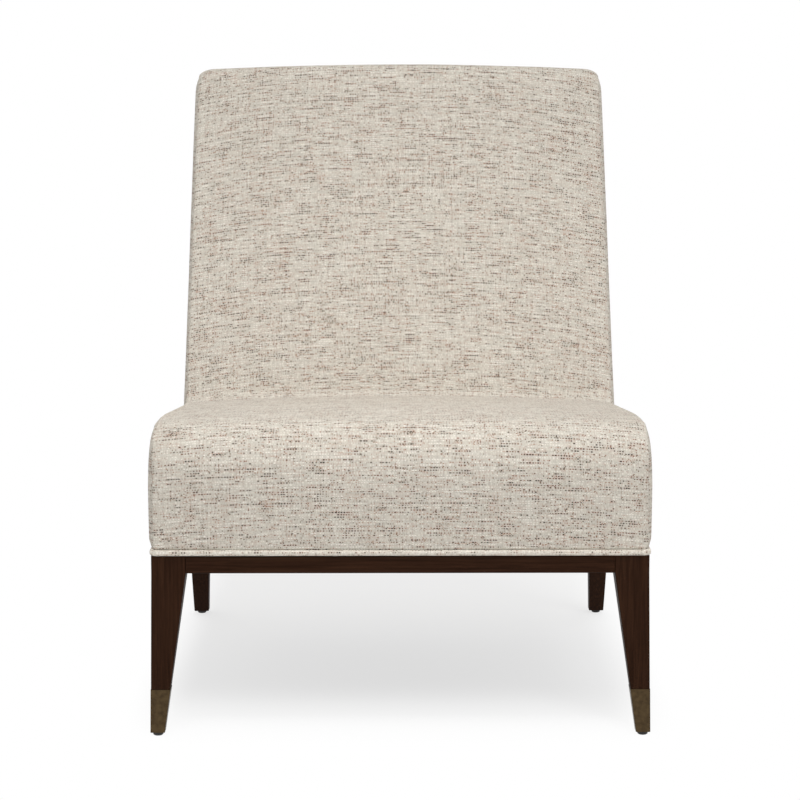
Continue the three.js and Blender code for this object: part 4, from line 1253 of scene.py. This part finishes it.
@dataclass
class Padding:
    """Foam and felt under the covers, and the cloths that carry them."""

    softness: float = math.radians(60)
    squeeze: float = 3 * MM
    band_rounding: float = 0.4 * MM
    slack: float = 2 * MM
    spans: int = 40

    def build(self) -> None:
        """Makes the foam blocks, the felt pads, the webbing, the deck cloth and the dust cover."""
        for block in ("seat_foam", "back_foam"):
            self.pad(block, FOAM, "foam", 0.9)
        for side in ("left", "right"):
            for place in ("seat", "back"):
                self.pad(f"{place}_side_padding_{side}", FELT, "felt", 0.7)
        for number in (1, 2, 3):
            self.strap(f"back_webbing_{number}")
        self.deck()
        self.dust_cover()

    def pad(self, node: str, finish: Finish, slot: str, fill: float) -> None:
        """Makes one block of padding.

        Args:
            node: The node that it stands for.
            finish: Its finish.
            slot: Not used.
            fill: Not used.
        """
        piece = merged_copy(node, f"{node}_pad")
        # The cover holds its padding in, a little smaller than it was cut
        bpy.ops.object.mode_set(mode="EDIT")
        bpy.ops.mesh.select_all(action="SELECT")
        bpy.ops.transform.shrink_fatten(value=-self.squeeze)
        bpy.ops.object.mode_set(mode="OBJECT")
        bpy.ops.object.shade_smooth_by_angle(angle=self.softness)
        put_on(piece, node, finish)

    def strap(self, node: str) -> None:
        """Makes one band of webbing, its edges a little rounded."""
        piece = merged_copy(node, f"{node}_band")
        rounding = piece.modifiers.new("rounding", "BEVEL")
        rounding.width = self.band_rounding
        rounding.segments = 2
        bpy.ops.object.modifier_apply(modifier=rounding.name)
        put_on(piece, node, WEBBING)

    def deck(self) -> None:
        """Makes the cloth that lies stretched over the springs."""
        piece = merged_copy("deck_cloth", "deck_hessian")
        bpy.ops.object.shade_smooth_by_angle(angle=self.softness)
        put_on(piece, "deck_cloth", HESSIAN)

    def dust_cover(self) -> None:
        """Makes the cambric under the seat, stapled to the rails and slightly slack."""
        low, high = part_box("dust_cover")
        x = np.linspace(low.x, high.x, self.spans + 1)[None, :]
        y = np.linspace(low.y, high.y, self.spans + 1)[:, None]
        middle_y = (low.y + high.y) / 2
        shape_x = 1 - (x / high.x) ** 2
        shape_y = 1 - ((y - middle_y) / (high.y - middle_y)) ** 2
        z = high.z - self.slack * shape_x * shape_y
        points = np.stack(np.broadcast_arrays(x, y, z), -1)
        piece = sewn_sheet("dust_cambric", points, points[..., :2], (0, 0, 1))
        select_only(piece)
        thicken(piece, high.z - low.z)
        bpy.ops.object.shade_smooth_by_angle(angle=self.softness)
        put_on(piece, "dust_cover", CAMBRIC)


@dataclass
class HiddenFrame:
    """The hardwood frame, the springs and the fastenings, which keep the frame's own shapes."""

    def dress(self) -> None:
        """Gives each hidden part the finish of its material."""
        for node, piece in frame["nodes"].items():
            if piece.hide_render:
                continue
            material = self.finish_of(node).material()
            for slot in piece.material_slots:
                slot.material = material
            log.info("%s keeps its shape, finished as %s", node, material.name)

    def finish_of(self, node: str) -> Finish:
        """Chooses a hidden part's finish.

        Args:
            node: The part's node.

        Returns:
            Its finish.
        """
        if node.startswith(("base_screw", "spring_clip")):
            return ZINC
        if node.startswith("seat_spring"):
            return SPRING_WIRE
        if node.startswith("back_post"):
            return BARE_WOOD.along(GrainAxis.UPRIGHT)
        if node in ("seat_rail_left", "seat_rail_right"):
            return BARE_WOOD.along(GrainAxis.BACKWARDS)
        return BARE_WOOD.along(GrainAxis.ACROSS)


@dataclass(frozen=True)
class Softbox:
    """A square softbox, which may have a grid that keeps its light together."""

    name: str
    at: Point
    towards: Point
    size: float
    watts: float
    spread: float = math.pi

    def hang(self) -> None:
        """Hangs the lamp, turned to the point that it lights."""
        data = bpy.data.lights.new(self.name, "AREA")
        data.size = self.size
        data.spread = self.spread
        data.energy = self.watts
        lamp = bpy.data.objects.new(self.name, data)
        lamp.location = self.at
        aim = Vector(self.towards) - Vector(self.at)
        lamp.rotation_euler = aim.to_track_quat("-Z", "Y").to_euler()
        bpy.context.scene.collection.objects.link(lamp)


@dataclass
class Studio:
    """A white sweep, a soft sky, a key softbox high in front and a gridded one over the seat."""

    sky: float = 0.69
    lamps: tuple[Softbox, ...] = (
        Softbox("key", (2.6, -7.4, 7.4), (0.0, 0.0, 0.5), size=3.4, watts=282.0),
        # Its grid keeps it off the top of the back
        Softbox("seat", (-0.1, -1.2, 2.9), (0.0, -0.12, 0.42), 0.9, 2.0, math.radians(36)),
    )
    shadow_depth: float = 0.345
    shadow_half: tuple[float, float] = (290 * MM, 390 * MM)
    shadow_rear: tuple[float, float] = (1000 * MM, 1600 * MM)
    shadow_front: tuple[float, float] = (120 * MM, 460 * MM)
    floor_size: float = 60.0
    floor_tone: str = "#f4f4f4"
    lens: float = 111.17
    sensor: float = 36.0
    camera_at: Point = (-0.01036, -3.62238, 0.91605)
    camera_turn: Point = (82.819, 0.045, -0.185)
    camera_shift: float = -0.05

    def build(self) -> None:
        """Sets up the camera, the floor, the sky and the lamps."""
        bpy.context.scene.view_settings.view_transform = "Standard"
        self.camera()
        self.floor()
        self.world()
        for lamp in self.lamps:
            lamp.hang()

    def camera(self) -> None:
        """Puts the camera where the photograph was taken."""
        data = bpy.data.cameras.new("camera")
        data.lens = self.lens
        data.sensor_width = self.sensor
        data.shift_y = self.camera_shift
        camera = bpy.data.objects.new("camera", data)
        camera.location = self.camera_at
        camera.rotation_euler = [math.radians(a) for a in self.camera_turn]
        bpy.context.scene.collection.objects.link(camera)
        bpy.context.scene.camera = camera

    def seen(self, tree: bpy.types.NodeTree) -> bpy.types.NodeSocket:
        """Tells a ray that looks or reflects from one that only lights.

        Args:
            tree: The shader's node tree.

        Returns:
            A socket that is 1 where the ray ends up in the picture.
        """
        rays = add_node(tree, "ShaderNodeLightPath").outputs
        seen = rays["Is Camera Ray"]
        for kind in ("Is Glossy Ray", "Is Transmission Ray"):
            terms = {0: seen, 1: rays[kind]}
            both = add_node(tree, "ShaderNodeMath", terms, operation="ADD", use_clamp=True)
            seen = both.outputs[0]
        return seen

    def shadow_share(self, tree: bpy.types.NodeTree) -> bpy.types.NodeSocket:
        """Tells how much of the floor's own shading the picture keeps at each place.

        Args:
            tree: The shader's node tree.

        Returns:
            A socket that is the shadow's depth below the chair, and 0 well beside it.
        """
        place = add_node(tree, "ShaderNodeTexCoord").outputs["Object"]
        split = add_node(tree, "ShaderNodeSeparateXYZ", {0: place})
        behind = split.outputs[1]
        aside = add_node(tree, "ShaderNodeMath", {0: split.outputs[0]}, operation="ABSOLUTE")
        ahead = add_node(tree, "ShaderNodeMath", {0: behind, 1: -1.0}, operation="MULTIPLY")
        kept = self.shadow_depth
        for distance, (near, far) in (
            (aside.outputs[0], self.shadow_half),
            (behind, self.shadow_rear),
            (ahead.outputs[0], self.shadow_front),
        ):
            ends = {"From Min": near, "From Max": far, "To Min": 1.0, "To Max": 0.0}
            inputs = {"Value": distance, **ends}
            fade = add_node(tree, "ShaderNodeMapRange", inputs, interpolation_type="SMOOTHSTEP")
            terms = {0: fade.outputs[0], 1: kept}
            kept = add_node(tree, "ShaderNodeMath", terms, operation="MULTIPLY").outputs[0]
        return kept

    def floor(self) -> None:
        """Lays a white floor that keeps a light shadow of the chair."""
        bpy.ops.mesh.primitive_plane_add(size=self.floor_size, location=(0, 0, 0))
        floor = bpy.context.object
        floor.name = "floor"
        material = bpy.data.materials.new("white_sweep_paper")
        material.use_nodes = True
        tree = material.node_tree
        tree.nodes.remove(tree.nodes["Principled BSDF"])
        surface = tree.nodes["Material Output"].inputs["Surface"]
        paper = add_node(tree, "ShaderNodeBsdfDiffuse", {"Color": linear(self.floor_tone)})
        glow = add_node(tree, "ShaderNodeEmission", {"Color": WHITE, "Strength": 1.0})
        shares = {0: self.shadow_share(tree), 1: glow.outputs[0], 2: paper.outputs[0]}
        lit = add_node(tree, "ShaderNodeMixShader", shares)
        looks = {0: self.seen(tree), 1: paper.outputs[0], 2: lit.outputs[0]}
        add_node(tree, "ShaderNodeMixShader", looks, surface)
        floor.data.materials.append(material)

    def world(self) -> None:
        """Makes the sky a soft white light that looks pure white."""
        world = bpy.data.worlds.new("white_studio")
        bpy.context.scene.world = world
        world.use_nodes = True
        tree = world.node_tree
        surface = tree.nodes["World Output"].inputs["Surface"]
        light = tree.nodes["Background"]
        light.inputs["Color"].default_value = WHITE
        light.inputs["Strength"].default_value = self.sky
        shown = add_node(tree, "ShaderNodeBackground", {"Color": WHITE, "Strength": 1.0})
        looks = {0: self.seen(tree), 1: light.outputs[0], 2: shown.outputs[0]}
        add_node(tree, "ShaderNodeMixShader", looks, surface)


def main() -> None:
    """Builds the chair and the studio."""
    Studio().build()
    seam = SideSeam(front_face=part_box("base_rail_front")[0].y)
    craft = Upholstery()
    InsideCover(seam, craft).build()
    for side in Side:
        SidePanel(seam, craft, side).build()
    OutsideBack(seam, craft).build()
    Welt(seam).build()
    ShowWoodBase().build()
    Padding().build()
    HiddenFrame().dress()


if __name__ == "__main__":
    main()
